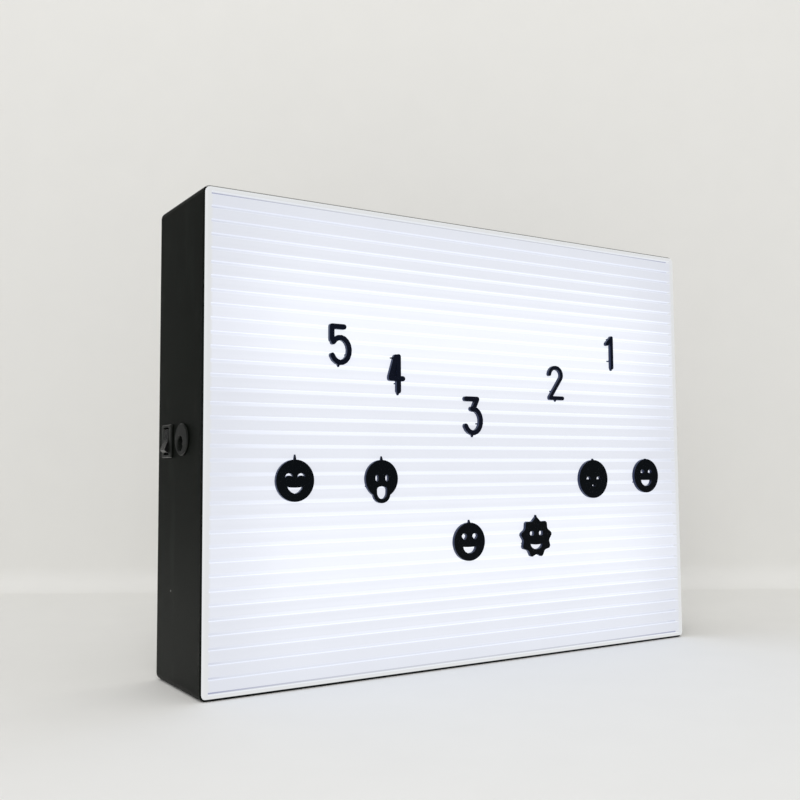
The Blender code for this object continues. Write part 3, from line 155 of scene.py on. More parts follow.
class LightBoxCase(PropertyGroup):
    """Moulded black case and battery door."""

    colour: colour_property("Colour", "Colour of the moulded plastic", (0.0031, 0.0047, 0.0031))
    roughness: share_property("Roughness", "Roughness of the textured walls", 0.50)
    gloss: share_property("Gloss", "Strength of the reflections", 0.10)
    grain: length_property("Grain", "Size of one grain of the mould texture", 0.00042)
    grain_depth: length_property("Grain Depth", "Depth of the mould texture", 0.000010)
    dust: share_property("Dust", "Amount of fine dust", 0.35)


class LightBoxPanel(PropertyGroup):
    """Translucent grooved front panel and its light."""

    colour: colour_property("Colour", "Colour of the unlit plastic", (0.11, 0.112, 0.116))
    groove_pitch: length_property("Groove Pitch", "Distance between two grooves", 0.0061)
    first_groove: length_property("First Groove", "Height of the lowest groove", 0.00325)
    groove_width: length_property("Groove Width", "Width of a groove's light line", 0.0014)
    level: share_property("Level", "Display level of the evenly lit panel", 0.914)
    border_level: share_property("Border Level", "Display level of the plain border", 0.877)
    border: length_property("Border", "Width of the plain border", 0.0031)
    strip_gain: share_property("Strip Gain", "Extra level in front of a strip", 0.064)
    strip_spread: length_property("Strip Spread", "Half height of a strip's glow", 0.0265)
    low_share: share_property("Lower Share", "Strength of the lower strip's glow", 0.85)
    high_shift: length_property("Upper Shift", "Height of the upper glow over its strip", -0.003, -0.1)
    low_shift: length_property("Lower Shift", "Height of the lower glow over its strip", 0.0, -0.1)
    middle_spread: length_property("Middle Spread", "Half height of the zone between strips", 0.040)
    ridge_gain: share_property("Ridge Gain", "How much a ridge's tilt shows", 0.150)
    line_gain: share_property("Line Gain", "Extra level of the groove lines", 0.050)
    middle_line_gain: share_property("Middle Line Gain", "More of it between the strips", 0.018)
    strip_line_loss: share_property("Strip Line Loss", "Less of it in front of a strip", 0.028)
    end_loss: share_property("End Loss", "Level lost at the top and bottom", 0.030)
    end_reach: length_property("End Reach", "How far that loss reaches in", 0.013)
    side_drop: share_property("Side Drop", "How far the dimmest side is below the level", 0.066)
    side_loss: share_property("Side Loss", "Share of the glow lost at the left and right", 0.48)
    side_reach: length_property("Side Reach", "How far that loss reaches in", 0.032)
    cloud_gain: share_property("Clouds", "Unevenness of the level", 0.016)
    rim_gain: share_property("Rim Gain", "Extra level of the outer rim", 0.035)
    rim_reach: length_property("Rim Reach", "Width of the outer rim", 0.0005)
    # Painted shadow: the panel's glow is cut off in this lowest strip, which makes a dark line for the
    # contact shadow below the panel.
    seam: length_property("Seam", "Height of the dark seam below the panel", 0.0006)
    outer_shade: share_property("Outer Shade", "Darkness of the outermost grooves", 0.34)
    corner_shade: share_property("Corner Shade", "More of it at their ends", 0.70)
    tip_shade: share_property("Tip Shade", "Darkness of the other grooves' ends", 0.50)
    cast: colour_property("Cast Light", "Colour of the light on the floor", (0.80, 0.87, 1.0))
    room: share_property("Room Light", "Light that the panel gets from the room", 0.092)


class LightBoxFigures(PropertyGroup):
    """Push-in digits and faces."""

    colour: colour_property("Colour", "Colour of the faces", (0.0021, 0.0034, 0.0050))
    digit_colour: colour_property("Digit Colour", "Colour of the digits", (0.0046, 0.0064, 0.0145))
    # Painted light: a paler blue on the figures' sides, for the panel's light falling on them.
    side_painted_light: colour_property("Side Painted Light", "Colour of the sides", (0.0050, 0.0080, 0.0210))
    roughness: share_property("Roughness", "Roughness of the satin faces", 0.34)
    gloss: share_property("Gloss", "Strength of the reflections on the faces", 0.07)
    side_gloss: share_property("Side Gloss", "Strength of the reflections on the sides", 0.70)
    side_tint: colour_property("Side Tint", "Tint of the light on the sides", (0.50, 0.58, 1.0))
    edge: length_property("Edge", "Radius of the softened edges", 0.00030)


class LightBoxFittings(PropertyGroup):
    """Switch, inlet and metal parts."""

    housing: colour_property("Housing", "Colour of the bezel and flange", (0.0090, 0.0105, 0.0092))
    rocker: colour_property("Rocker", "Colour of the polished rocker", (0.0052, 0.0054, 0.0056))
    metal: colour_property("Metal", "Colour of the plated metal", (0.60, 0.59, 0.56))
    # Painted shade: the inlet's metal is given a dark colour for the shade deep inside its hole.
    shaded_inlet_metal: colour_property("Inlet Metal", "Colour of the inlet's metal", (0.09, 0.09, 0.085))
    roughness: share_property("Roughness", "Roughness of bezel and flange", 0.34)


class LightBoxInside(PropertyGroup):
    """Cells, strips, liner and leads."""

    wrap: colour_property("Wrap", "Colour of the plain cell wrap", (0.060, 0.085, 0.11))
    liner: colour_property("Liner", "Colour of the white liner", (0.78, 0.78, 0.76))
    board: colour_property("Board", "Colour of the strip's coating", (0.72, 0.73, 0.70))
    red: colour_property("Red", "Colour of the red insulation", (0.38, 0.018, 0.014))
    black: colour_property("Black", "Colour of the black insulation", (0.012, 0.012, 0.013))


class LightBoxStage(PropertyGroup):
    """Floor, backdrop, lights and camera."""

    floor: colour_property("Floor", "Colour of floor and backdrop", (0.805, 0.800, 0.772))
    wall_distance: length_property("Wall Distance", "From the camera to the backdrop", 0.80)
    wall_reach: length_property("Wall Reach", "Half width of the backdrop", 0.46)
    sweep: length_property("Sweep", "Radius between floor and backdrop", 0.02)
    lens: FloatProperty(
        name="Lens", description="Focal length on a 36 mm sensor", default=43.87, min=10, max=300
    )
    camera: FloatVectorProperty(
        name="Camera",
        description="Place of the camera",
        default=(-0.29406, -0.42233, 0.09595),
        subtype="TRANSLATION",
        size=3,
        unit="LENGTH",
    )
    yaw: FloatProperty(
        name="Yaw",
        description="Turn of the camera to the right",
        default=math.radians(32.225),
        subtype="ANGLE",
        unit="ROTATION",
    )
    pitch: FloatProperty(
        name="Pitch",
        description="Tilt of the camera upwards",
        default=math.radians(4.137),
        subtype="ANGLE",
        unit="ROTATION",
    )
    roll: FloatProperty(
        name="Roll",
        description="Roll of the camera",
        default=math.radians(-0.367),
        subtype="ANGLE",
        unit="ROTATION",
    )
    key: FloatProperty(
        name="Key", description="Power of the key light", default=3.6, min=0, unit="POWER"
    )
    fill: FloatProperty(
        name="Fill", description="Power of the fill light", default=11.6, min=0, unit="POWER"
    )


def add_node(tree, kind, inputs=(), **settings):
    """Adds a node, applies its settings and fills or links its sockets."""
    node = tree.nodes.new(kind)
    for name, value in settings.items():
        setattr(node, name, value)
    for key, value in dict(inputs).items():
        if isinstance(value, NodeSocket):
            tree.links.new(value, node.inputs[key])
        else:
            node.inputs[key].default_value = value
    return node


def calc(tree, operation, *values, clamp=False):
    """The result of one arithmetic node."""
    node = add_node(
        tree,
        "ShaderNodeMath",
        dict(enumerate(values)),
        operation=operation,
        use_clamp=clamp,
    )
    return node.outputs[0]


def blend_colours(tree, share, first, second):
    """The mix of two colours."""
    node = add_node(tree, "ShaderNodeMix", {0: share, 6: first, 7: second}, data_type="RGBA")
    return node.outputs[2]


def opaque(colour):
    """Three colour values with full alpha."""
    return (*colour, 1.0)


def scaled(colour, factor):
    """A colour made lighter or darker."""
    return opaque([min(1.0, channel * factor) for channel in colour])


def ramp(tree, value, low, high):
    """A smooth step from 0 at low to 1 at high."""
    node = add_node(
        tree,
        "ShaderNodeMapRange",
        {"Value": value, "From Min": low, "From Max": high},
        interpolation_type="SMOOTHSTEP",
    )
    return node.outputs[0]


def noise(tree, position, scale, detail=3.0, roughness=0.55):
    """A noise value from 0 to 1 around a point."""
    node = add_node(
        tree,
        "ShaderNodeTexNoise",
        {"Vector": position, "Scale": scale, "Detail": detail, "Roughness": roughness},
    )
    return node.outputs[0]


def stretch(tree, position, scale):
    """A position with its three axes scaled."""
    node = add_node(
        tree, "ShaderNodeVectorMath", {0: position, 1: scale}, operation="MULTIPLY"
    )
    return node.outputs[0]


def shared_group(name, inputs, outputs, fill):
    """A node group with named sockets, made once and used by several materials."""
    found = bpy.data.node_groups.get(name)
    if found is not None:
        return found
    group = bpy.data.node_groups.new(name, "ShaderNodeTree")
    for label, kind, default in inputs:
        socket = group.interface.new_socket(name=label, in_out="INPUT", socket_type=kind)
        if default is not None:
            socket.default_value = default
    for label, kind in outputs:
        group.interface.new_socket(name=label, in_out="OUTPUT", socket_type=kind)
    entry = group.nodes.new("NodeGroupInput")
    leave = group.nodes.new("NodeGroupOutput")
    for label, value in fill(group, entry.outputs).items():
        group.links.new(value, leave.inputs[label])
    return group


def use_group(tree, group, **inputs):
    """Places a group in a tree. Socket names are given with underscores for spaces."""
    values = {name.replace("_", " "): value for name, value in inputs.items()}
    node = tree.nodes.new("ShaderNodeGroup")
    node.node_tree = group
    for key, value in values.items():
        if isinstance(value, NodeSocket):
            tree.links.new(value, node.inputs[key])
        else:
            node.inputs[key].default_value = value
    return node.outputs


def fill_grain(tree, given):
    """Spark-eroded mould texture: fine grain on a slow waviness."""
    fineness = calc(tree, "DIVIDE", 1.0, given["Size"])
    grain = noise(tree, given["Position"], fineness, 2.0, 0.6)
    slow = noise(tree, given["Position"], 38.0, 2.0, 0.5)
    wave = calc(tree, "MULTIPLY", slow, 1.6)
    height = calc(tree, "MULTIPLY", calc(tree, "ADD", grain, wave), given["Depth"])
    bump = add_node(tree, "ShaderNodeBump", {"Strength": 1.0, "Distance": 1.0, "Height": height})
    return {"Normal": bump.outputs[0], "Grain": grain, "Slow": slow}


def grain_group():
    """The group for moulded plastic."""
    return shared_group(
        "Moulded Grain",
        [
            ("Position", "NodeSocketVector", None),
            ("Size", "NodeSocketFloat", 0.0004),
            ("Depth", "NodeSocketFloat", 0.00001),
        ],
        [
            ("Normal", "NodeSocketVector"),
            ("Grain", "NodeSocketFloat"),
            ("Slow", "NodeSocketFloat"),
        ],
        fill_grain,
    )


def fill_marks(tree, given):
    """Dust specks, a dust veil on surfaces that face up, and rubbed patches."""
    cells = add_node(
        tree,
        "ShaderNodeTexVoronoi",
        {"Vector": given["Position"], "Scale": 210.0, "Randomness": 1.0},
    )
    size = calc(tree, "SUBTRACT", 1.0, ramp(tree, cells.outputs["Distance"], 0.035, 0.065))
    pick = add_node(tree, "ShaderNodeSeparateColor", {0: cells.outputs["Color"]})
    dusty_share = calc(tree, "MULTIPLY", given["Amount"], 0.16)
    chosen = calc(
        tree, "GREATER_THAN", pick.outputs[0], calc(tree, "SUBTRACT", 1.0, dusty_share)
    )
    specks = calc(tree, "MULTIPLY", size, chosen)
    facing = add_node(tree, "ShaderNodeNewGeometry")
    upward = add_node(tree, "ShaderNodeSeparateXYZ", {0: facing.outputs["Normal"]})
    veil = calc(
        tree,
        "MULTIPLY",
        ramp(tree, upward.outputs[2], 0.35, 0.95),
        ramp(tree, noise(tree, given["Position"], 90.0, 5.0, 0.65), 0.35, 0.75),
    )
    dust = calc(
        tree,
        "ADD",
        specks,
        calc(tree, "MULTIPLY", veil, calc(tree, "MULTIPLY", given["Amount"], 0.12)),
        clamp=True,
    )
    upright = stretch(tree, given["Position"], (1.0, 1.0, 0.35))
    rubbed = ramp(tree, noise(tree, upright, 55.0, 4.0), 0.52, 0.72)
    return {"Dust": dust, "Rubbed": rubbed}


def marks_group():
    """The group for dust and handling."""
    return shared_group(
        "Handling Marks",
        [("Position", "NodeSocketVector", None), ("Amount", "NodeSocketFloat", 0.3)],
        [("Dust", "NodeSocketFloat"), ("Rubbed", "NodeSocketFloat")],
        fill_marks,
    )


def fill_metal(tree, given):
    """Drawn or rolled metal: fine lines along one axis with faint stains."""
    lines = noise(tree, stretch(tree, given["Position"], (160.0, 2600.0, 2600.0)), 1.0, 3.0, 0.6)
    stains = ramp(tree, noise(tree, given["Position"], 260.0, 4.0), 0.42, 0.8)
    height = calc(tree, "MULTIPLY", lines, 0.000004)
    bump = add_node(tree, "ShaderNodeBump", {"Strength": 1.0, "Distance": 1.0, "Height": height})
    rough = calc(tree, "ADD", 0.20, calc(tree, "MULTIPLY", calc(tree, "ADD", lines, stains), 0.16))
    return {"Normal": bump.outputs[0], "Roughness": rough, "Stain": stains}


def metal_group():
    """The group for plated metal."""
    return shared_group(
        "Drawn Metal",
        [("Position", "NodeSocketVector", None)],
        [
            ("Normal", "NodeSocketVector"),
            ("Roughness", "NodeSocketFloat"),
            ("Stain", "NodeSocketFloat"),
        ],
        fill_metal,
    )


def new_material(name):
    """A material, its tree, its shader and the position in the object's own space."""
    material = bpy.data.materials.new(name)
    material.use_nodes = True
    tree = material.node_tree
    shader = tree.nodes["Principled BSDF"]
    position = add_node(tree, "ShaderNodeTexCoord").outputs["Object"]
    return material, tree, shader, position


def connect(tree, shader, **values):
    """Fills or links sockets of the shader. Names are given with underscores for spaces."""
    for name, value in values.items():
        socket = shader.inputs[name.replace("_", " ")]
        if isinstance(value, NodeSocket):
            tree.links.new(value, socket)
        else:
            socket.default_value = value


def near_spot(tree, position, spot, radius):
    """1 within a small radius of a spot, 0 outside."""
    away = add_node(
        tree, "ShaderNodeVectorMath", {0: position, 1: spot}, operation="DISTANCE"
    ).outputs["Value"]
    return calc(tree, "SUBTRACT", 1.0, ramp(tree, away, radius * 0.5, radius))


def painted_rim_highlight_and_nick(tree, position):
    """A painted highlight on the upper front rim, for the light it would catch from above, and one
    small nick in the side.
    """
    axes = add_node(tree, "ShaderNodeSeparateXYZ", {0: position}).outputs
    rim = calc(
        tree,
        "MULTIPLY",
        ramp(tree, axes[2], CASE_HIGH.z - PAINTED_RIM_HEIGHT, CASE_HIGH.z - PAINTED_RIM_HEIGHT * 0.75),
        calc(
            tree,
            "SUBTRACT",
            1.0,
            ramp(tree, axes[1], CASE_LOW.y + PAINTED_RIM_DEPTH / 2, CASE_LOW.y + PAINTED_RIM_DEPTH),
        ),
    )
    nick = near_spot(tree, position, NICK_PLACE, NICK_RADIUS)
    return calc(tree, "MAXIMUM", rim, nick)


def moulded_plastic(name, colour, roughness, gloss, grain, depth, dust, wear=0.05, rim_highlight_and_nick=False):
    """Dark moulded plastic with grain, uneven gloss, rubbed patches and dust; when asked, also a
    painted highlight on the upper front rim and a small nick.
    """
    material, tree, shader, position = new_material(name)
    texture = use_group(tree, grain_group(), Position=position, Size=grain, Depth=depth)
    marks = use_group(tree, marks_group(), Position=position, Amount=dust)
    mottled = blend_colours(tree, texture["Slow"], scaled(colour, 0.80), scaled(colour, 1.22))
    grained = blend_colours(
        tree, calc(tree, "MULTIPLY", texture["Grain"], 0.5), mottled, scaled(colour, 1.5)
    )
    dusty = blend_colours(tree, marks["Dust"], grained, (0.30, 0.29, 0.27, 1.0))
    # Painted highlight: the upper front rim is made pale grey for the light it catches from above; the
    # small nick gets the same grey.
    if rim_highlight_and_nick:
        dusty = blend_colours(tree, painted_rim_highlight_and_nick(tree, position), dusty, (0.26, 0.26, 0.25, 1.0))
    rough = calc(
        tree,
        "ADD",
        calc(tree, "ADD", roughness - 0.06, calc(tree, "MULTIPLY", texture["Grain"], 0.12)),
        calc(
            tree,
            "SUBTRACT",
            calc(tree, "MULTIPLY", marks["Dust"], 0.3),
            calc(tree, "MULTIPLY", marks["Rubbed"], wear),
        ),
        clamp=True,
    )
    connect(
        tree,
        shader,
        Base_Color=dusty,
        Roughness=rough,
        Specular_IOR_Level=gloss,
        Normal=texture["Normal"],
    )
    return material


def plated_metal(name, colour):
    """Nickel-plated metal with drawing lines and faint stains."""
    material, tree, shader, position = new_material(name)
    texture = use_group(tree, metal_group(), Position=position)
    stained = blend_colours(
        tree, calc(tree, "MULTIPLY", texture["Stain"], 0.35), opaque(colour), scaled(colour, 0.55)
    )
    connect(
        tree,
        shader,
        Base_Color=stained,
        Metallic=1.0,
        Roughness=texture["Roughness"],
        Normal=texture["Normal"],
    )
    return material


def dress(names, material):
    """Gives CAD nodes a material."""
    for name in names:
        node = NODES[name]
        node.data.materials.clear()
        node.data.materials.append(material)


def softened_copy(name, radius, segments=2):
    """A piece with the node's own shape and rounded edges, which stands for the node."""
    node = NODES[name]
    mesh = node.data.copy()
    working = bmesh.new()
    working.from_mesh(mesh)
    bmesh.ops.remove_doubles(working, verts=working.verts, dist=1e-6)
    bmesh.ops.dissolve_limit(
        working, angle_limit=FLAT_ANGLE, verts=working.verts, edges=working.edges
    )
    for face in working.faces:
        face.smooth = True
    working.to_mesh(mesh)
    working.free()
    for spare in ("custom_normal", "sharp_edge", "sharp_face"):
        if spare in mesh.attributes:
            mesh.attributes.remove(mesh.attributes[spare])
    piece = bpy.data.objects.new(f"{name}_piece", mesh)
    bpy.context.scene.collection.objects.link(piece)
    bevel = piece.modifiers.new("Rounded edges", "BEVEL")
    bevel.width = radius
    bevel.segments = segments
    bevel.limit_method = "ANGLE"
    bevel.angle_limit = EDGE_ANGLE
    bevel.use_clamp_overlap = True
    bevel.harden_normals = True
    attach(piece, node["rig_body"])
    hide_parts(name)


def squared(tree, value):
    """The square of a value."""
    return calc(tree, "MULTIPLY", value, value)


def bell(tree, value, centre, spread):
    """A bell curve of 1 at the centre."""
    offset = calc(tree, "DIVIDE", calc(tree, "SUBTRACT", value, centre), spread)
    return calc(tree, "EXPONENT", calc(tree, "MULTIPLY", squared(tree, offset), -1.0))


def slope_of_bell(tree, value, centre, spread):
    """A value below 0 under the centre and above 0 over it, which fades out."""
    offset = calc(tree, "DIVIDE", calc(tree, "SUBTRACT", value, centre), spread)
    return calc(tree, "MULTIPLY", offset, bell(tree, value, centre, spread))


def edge_distance(tree, across, height):
    """Distance to the nearest side, to the nearer of top and bottom, and to either."""
    side = calc(
        tree,
        "MINIMUM",
        calc(tree, "SUBTRACT", across, PANEL_LOW.x),
        calc(tree, "SUBTRACT", PANEL_HIGH.x, across),
    )
    end = calc(
        tree,
        "MINIMUM",
        calc(tree, "SUBTRACT", height, PANEL_LOW.z),
        calc(tree, "SUBTRACT", PANEL_HIGH.z, height),
    )
    return side, end, calc(tree, "MINIMUM", side, end)


def edge_distance_of(tree, position):
    """Distance from a point of the panel to the nearest outer edge."""
    axes = add_node(tree, "ShaderNodeSeparateXYZ", {0: position}).outputs
    return edge_distance(tree, axes[0], axes[2])[2]


def strip_glow(tree, height, settings):
    """The glow in front of the two strips, its slope, and the zone between the strips."""
    low = STRIP_LOW_Z + settings.low_shift
    high = STRIP_HIGH_Z + settings.high_shift
    spread = settings.strip_spread
    low_glow = calc(tree, "MULTIPLY", bell(tree, height, low, spread), settings.low_share)
    strips = calc(tree, "ADD", low_glow, bell(tree, height, high, spread))
    slopes = calc(
        tree,
        "ADD",
        slope_of_bell(tree, height, low, spread),
        slope_of_bell(tree, height, high, spread),
    )
    middle = calc(
        tree,
        "MULTIPLY",
        bell(tree, height, (low + high) / 2, settings.middle_spread),
        calc(tree, "SUBTRACT", 1.0, calc(tree, "MINIMUM", strips, 1.0)),
    )
    return strips, slopes, middle


def groove_masks(tree, height, settings):
    """Share of a pitch to the nearest groove, the groove mask, and the tilt on a ridge."""
    turns = calc(
        tree,
        "DIVIDE",
        calc(tree, "SUBTRACT", height, settings.first_groove),
        settings.groove_pitch,
    )
    phase = calc(tree, "FRACT", calc(tree, "ADD", turns, 1.0))
    near = calc(tree, "MINIMUM", phase, calc(tree, "SUBTRACT", 1.0, phase))
    half = settings.groove_width / settings.groove_pitch / 2
    in_groove = calc(tree, "SUBTRACT", 1.0, ramp(tree, near, half * 0.40, half * 1.60))
    on_ridge = ramp(tree, near, half, 0.46)
    tilt = calc(tree, "MULTIPLY", calc(tree, "SUBTRACT", phase, 0.5), on_ridge)
    return near, in_groove, tilt


def line_strength(tree, strips, middle, side, end, settings):
    """Level of a groove's line: weaker in front of a strip and towards the edges."""
    strength = calc(
        tree,
        "SUBTRACT",
        calc(
            tree,
            "ADD",
            settings.line_gain,
            calc(tree, "MULTIPLY", middle, settings.middle_line_gain),
        ),
        calc(tree, "MULTIPLY", strips, settings.strip_line_loss),
    )
    corner = calc(tree, "MULTIPLY", fade_in(tree, side, 0.030), 0.016)
    from_end = calc(tree, "SUBTRACT", end, corner)
    inward = calc(
        tree, "MULTIPLY", ramp(tree, side, -0.004, 0.022), ramp(tree, from_end, 0.003, 0.030)
    )
    return calc(tree, "MULTIPLY", strength, inward)


def dim_sides(tree, level, side, settings):
    """The level with part of its glow lost towards the left and right edges."""
    loss = calc(tree, "MULTIPLY", bell(tree, side, 0.0, settings.side_reach), settings.side_loss)
    dimmest = settings.level - settings.side_drop
    glow = calc(tree, "SUBTRACT", level, dimmest)
    kept = calc(tree, "MULTIPLY", glow, calc(tree, "SUBTRACT", 1.0, loss))
    return calc(tree, "ADD", dimmest, kept)


def panel_level(tree, position, settings):
    """Display level of the lit panel, and where its grooves look dark."""
    axes = add_node(tree, "ShaderNodeSeparateXYZ", {0: position}).outputs
    across, height = axes[0], axes[2]
    side, end, edge = edge_distance(tree, across, height)
    strips, slopes, middle = strip_glow(tree, height, settings)
    near, in_groove, tilt = groove_masks(tree, height, settings)
    base = calc(
        tree,
        "SUBTRACT",
        calc(tree, "ADD", settings.level, calc(tree, "MULTIPLY", strips, settings.strip_gain)),
        calc(tree, "MULTIPLY", fade_in(tree, end, settings.end_reach), settings.end_loss),
    )
    ridge = calc(tree, "MULTIPLY", calc(tree, "MULTIPLY", slopes, tilt), settings.ridge_gain)
    strength = line_strength(tree, strips, middle, side, end, settings)
    line = calc(tree, "MULTIPLY", in_groove, strength)
    level = calc(tree, "ADD", calc(tree, "ADD", base, ridge), line)
    level = dim_sides(tree, level, side, settings)
    cloud = calc(tree, "SUBTRACT", noise(tree, position, 42.0, 4.0, 0.6), 0.5)
    level = calc(tree, "ADD", level, calc(tree, "MULTIPLY", cloud, settings.cloud_gain))
    rim = calc(tree, "MULTIPLY", fade_in(tree, edge, settings.rim_reach), settings.rim_gain)
    plain = border_share(tree, edge, settings)
    framed = blend_values(tree, plain, level, calc(tree, "ADD", settings.border_level, rim))
    # Painted shadow: the glow fades out in the panel's lowest strip, standing in for the contact
    # shadow under it.
    above_painted_shadow = ramp(
        tree, height, PANEL_LOW.z + settings.seam / 2, PANEL_LOW.z + settings.seam
    )
    shade = groove_shade(tree, settings, end, side, near)
    return calc(tree, "MULTIPLY", framed, above_painted_shadow), shade


def fade_in(tree, distance, reach):
    """A value of 1 at an edge that fades towards the inside."""
    return calc(tree, "EXPONENT", calc(tree, "DIVIDE", distance, -reach))


def border_share(tree, edge, settings):
    """1 on the plain border, 0 on the grooved field."""
    return calc(
        tree, "SUBTRACT", 1.0, ramp(tree, edge, settings.border - 0.0010, settings.border + 0.0008)
    )


def groove_shade(tree, settings, end, side, near):
    """Where a groove looks dark: the outermost grooves, and each groove close to its ends."""
    outermost = calc(tree, "SUBTRACT", 1.0, ramp(tree, end, 0.0046, 0.0050))
    thin = calc(tree, "SUBTRACT", 1.0, ramp(tree, near, 0.03, 0.12))
    field = ramp(tree, side, settings.border, settings.border + 0.0004)
    corner = calc(tree, "MULTIPLY", fade_in(tree, side, 0.030), settings.corner_shade)
    depth = calc(tree, "ADD", settings.outer_shade, corner)
    tips = calc(
        tree,
        "MULTIPLY",
        calc(tree, "SUBTRACT", 1.0, ramp(tree, side, settings.border + 0.001, 0.012)),
        calc(tree, "MULTIPLY", fade_in(tree, end, 0.014), settings.tip_shade),
    )
    dark = calc(tree, "MAXIMUM", calc(tree, "MULTIPLY", outermost, depth), tips)
    return calc(tree, "MULTIPLY", calc(tree, "MULTIPLY", dark, field), thin)


def blend_values(tree, share, first, second):
    """The mix of two values."""
    node = add_node(tree, "ShaderNodeMix", {0: share, 2: first, 3: second}, data_type="FLOAT")
    return node.outputs[0]


def to_linear(tree, level):
    """The light that shows as a display level."""
    shifted = calc(tree, "DIVIDE", calc(tree, "ADD", level, 0.055), 1.055)
    return calc(tree, "POWER", shifted, 2.4)


def panel_material(settings):
    """Translucent white plastic that glows by its place in front of the strips."""
    material, tree, shader, position = new_material("lit_panel")
    level, shade = panel_level(tree, position, settings)
    plain = border_share(tree, edge_distance_of(tree, position), settings)
    linear = to_linear(tree, calc(tree, "MINIMUM", level, 0.990))
    red = calc(tree, "MULTIPLY", linear, blend_values(tree, plain, 0.972, 0.985))
    blue = calc(tree, "MULTIPLY", linear, blend_values(tree, plain, 1.085, 1.01))
    light = add_node(
        tree,
        "ShaderNodeCombineColor",
        {0: red, 1: linear, 2: calc(tree, "MINIMUM", blue, 0.995)},
    )
    shaded = blend_colours(
        tree, calc(tree, "MULTIPLY", shade, 0.90), light.outputs[0], (0.30, 0.31, 0.46, 1.0)
    )
    shown = add_node(
        tree, "ShaderNodeVectorMath", {0: shaded, 1: [settings.room] * 3}, operation="SUBTRACT"
    ).outputs[0]
    cast = add_node(
        tree, "ShaderNodeVectorMath", {0: light.outputs[0], 1: settings.cast}, operation="MULTIPLY"
    ).outputs[0]
    seen = add_node(tree, "ShaderNodeLightPath").outputs["Is Camera Ray"]
    glow = blend_colours(tree, seen, cast, shown)
    texture = use_group(tree, grain_group(), Position=position, Size=0.0009, Depth=0.000003)
    marks = use_group(tree, marks_group(), Position=position, Amount=0.10)
    body = blend_colours(
        tree, texture["Slow"], scaled(settings.colour, 0.97), scaled(settings.colour, 1.03)
    )
    rough = calc(tree, "ADD", 0.33, calc(tree, "MULTIPLY", marks["Rubbed"], 0.06))
    connect(
        tree,
        shader,
        Base_Color=body,
        Roughness=rough,
        Specular_IOR_Level=0.35,
        Emission_Color=glow,
        Emission_Strength=1.0,
        Normal=texture["Normal"],
    )
    return material


def figure_material(name, colour, settings):
    """Satin black plastic whose sheared sides catch the panel's light, shown as a paler blue painted
    into their colour, with stronger tinted reflections.
    """
    material, tree, shader, position = new_material(name)
    texture = use_group(tree, grain_group(), Position=position, Size=0.00030, Depth=0.0000030)
    marks = use_group(tree, marks_group(), Position=position, Amount=0.10)
    normal = add_node(tree, "ShaderNodeNewGeometry").outputs["Normal"]
    facing = calc(
        tree, "ABSOLUTE", add_node(tree, "ShaderNodeSeparateXYZ", {0: normal}).outputs[1]
    )
    sides = calc(tree, "SUBTRACT", 1.0, ramp(tree, facing, 0.35, 0.92))
    mottled = blend_colours(
        tree, texture["Slow"], scaled(colour, 0.8), scaled(colour, 1.25)
    )
    # Painted light: the sides get a paler blue colour that stands in for the panel's light falling on
    # them.
    mottled = blend_colours(tree, sides, mottled, opaque(settings.side_painted_light))
    dusty = blend_colours(tree, marks["Dust"], mottled, (0.20, 0.20, 0.21, 1.0))
    rough = calc(
        tree,
        "ADD",
        calc(
            tree, "ADD", settings.roughness - 0.05, calc(tree, "MULTIPLY", texture["Grain"], 0.10)
        ),
        calc(tree, "MULTIPLY", marks["Rubbed"], -0.08),
    )
    connect(
        tree,
        shader,
        Base_Color=dusty,
        Roughness=rough,
        Specular_IOR_Level=blend_values(tree, sides, settings.gloss, settings.side_gloss),
        Specular_Tint=blend_colours(
            tree, sides, (1.0, 1.0, 1.0, 1.0), opaque(settings.side_tint)
        ),
        Normal=texture["Normal"],
    )
    return material


def cell_material(settings):
    """Plain cell wrap with bare metal at both ends and a paler band near one end."""
    material, tree, shader, position = new_material("cell_wrap")
    axes = add_node(tree, "ShaderNodeSeparateXYZ", {0: position}).outputs
    inner = min(abs(corner.x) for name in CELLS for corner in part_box(name))
    outer = max(abs(corner.x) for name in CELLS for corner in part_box(name))
    away = calc(tree, "ABSOLUTE", axes[0])
    depth = calc(
        tree,
        "MINIMUM",
        calc(tree, "SUBTRACT", away, inner),
        calc(tree, "SUBTRACT", outer, away),
    )
    wrapped = ramp(tree, depth, CELL_WRAP_START, CELL_WRAP_START + CELL_EDGE_BLUR)
    past_band = ramp(tree, depth, CELL_BAND_END, CELL_BAND_END + CELL_EDGE_BLUR)
    band = calc(
        tree,
        "MULTIPLY",
        ramp(tree, depth, CELL_BAND_START, CELL_BAND_START + CELL_EDGE_BLUR),
        calc(tree, "SUBTRACT", 1.0, past_band),
    )
    marks = use_group(tree, marks_group(), Position=position, Amount=0.2)
    texture = use_group(tree, metal_group(), Position=position)
    label = blend_colours(tree, band, opaque(settings.wrap), (0.55, 0.56, 0.55, 1.0))
    worn = blend_colours(
        tree, calc(tree, "MULTIPLY", marks["Rubbed"], 0.3), label, scaled(settings.wrap, 1.6)
    )
    connect(
        tree,
        shader,
        Base_Color=blend_colours(tree, wrapped, (0.62, 0.61, 0.58, 1.0), worn),
        Metallic=calc(tree, "SUBTRACT", 1.0, wrapped),
        Roughness=calc(tree, "ADD", texture["Roughness"], calc(tree, "MULTIPLY", wrapped, 0.08)),
        Normal=texture["Normal"],
    )
    return material


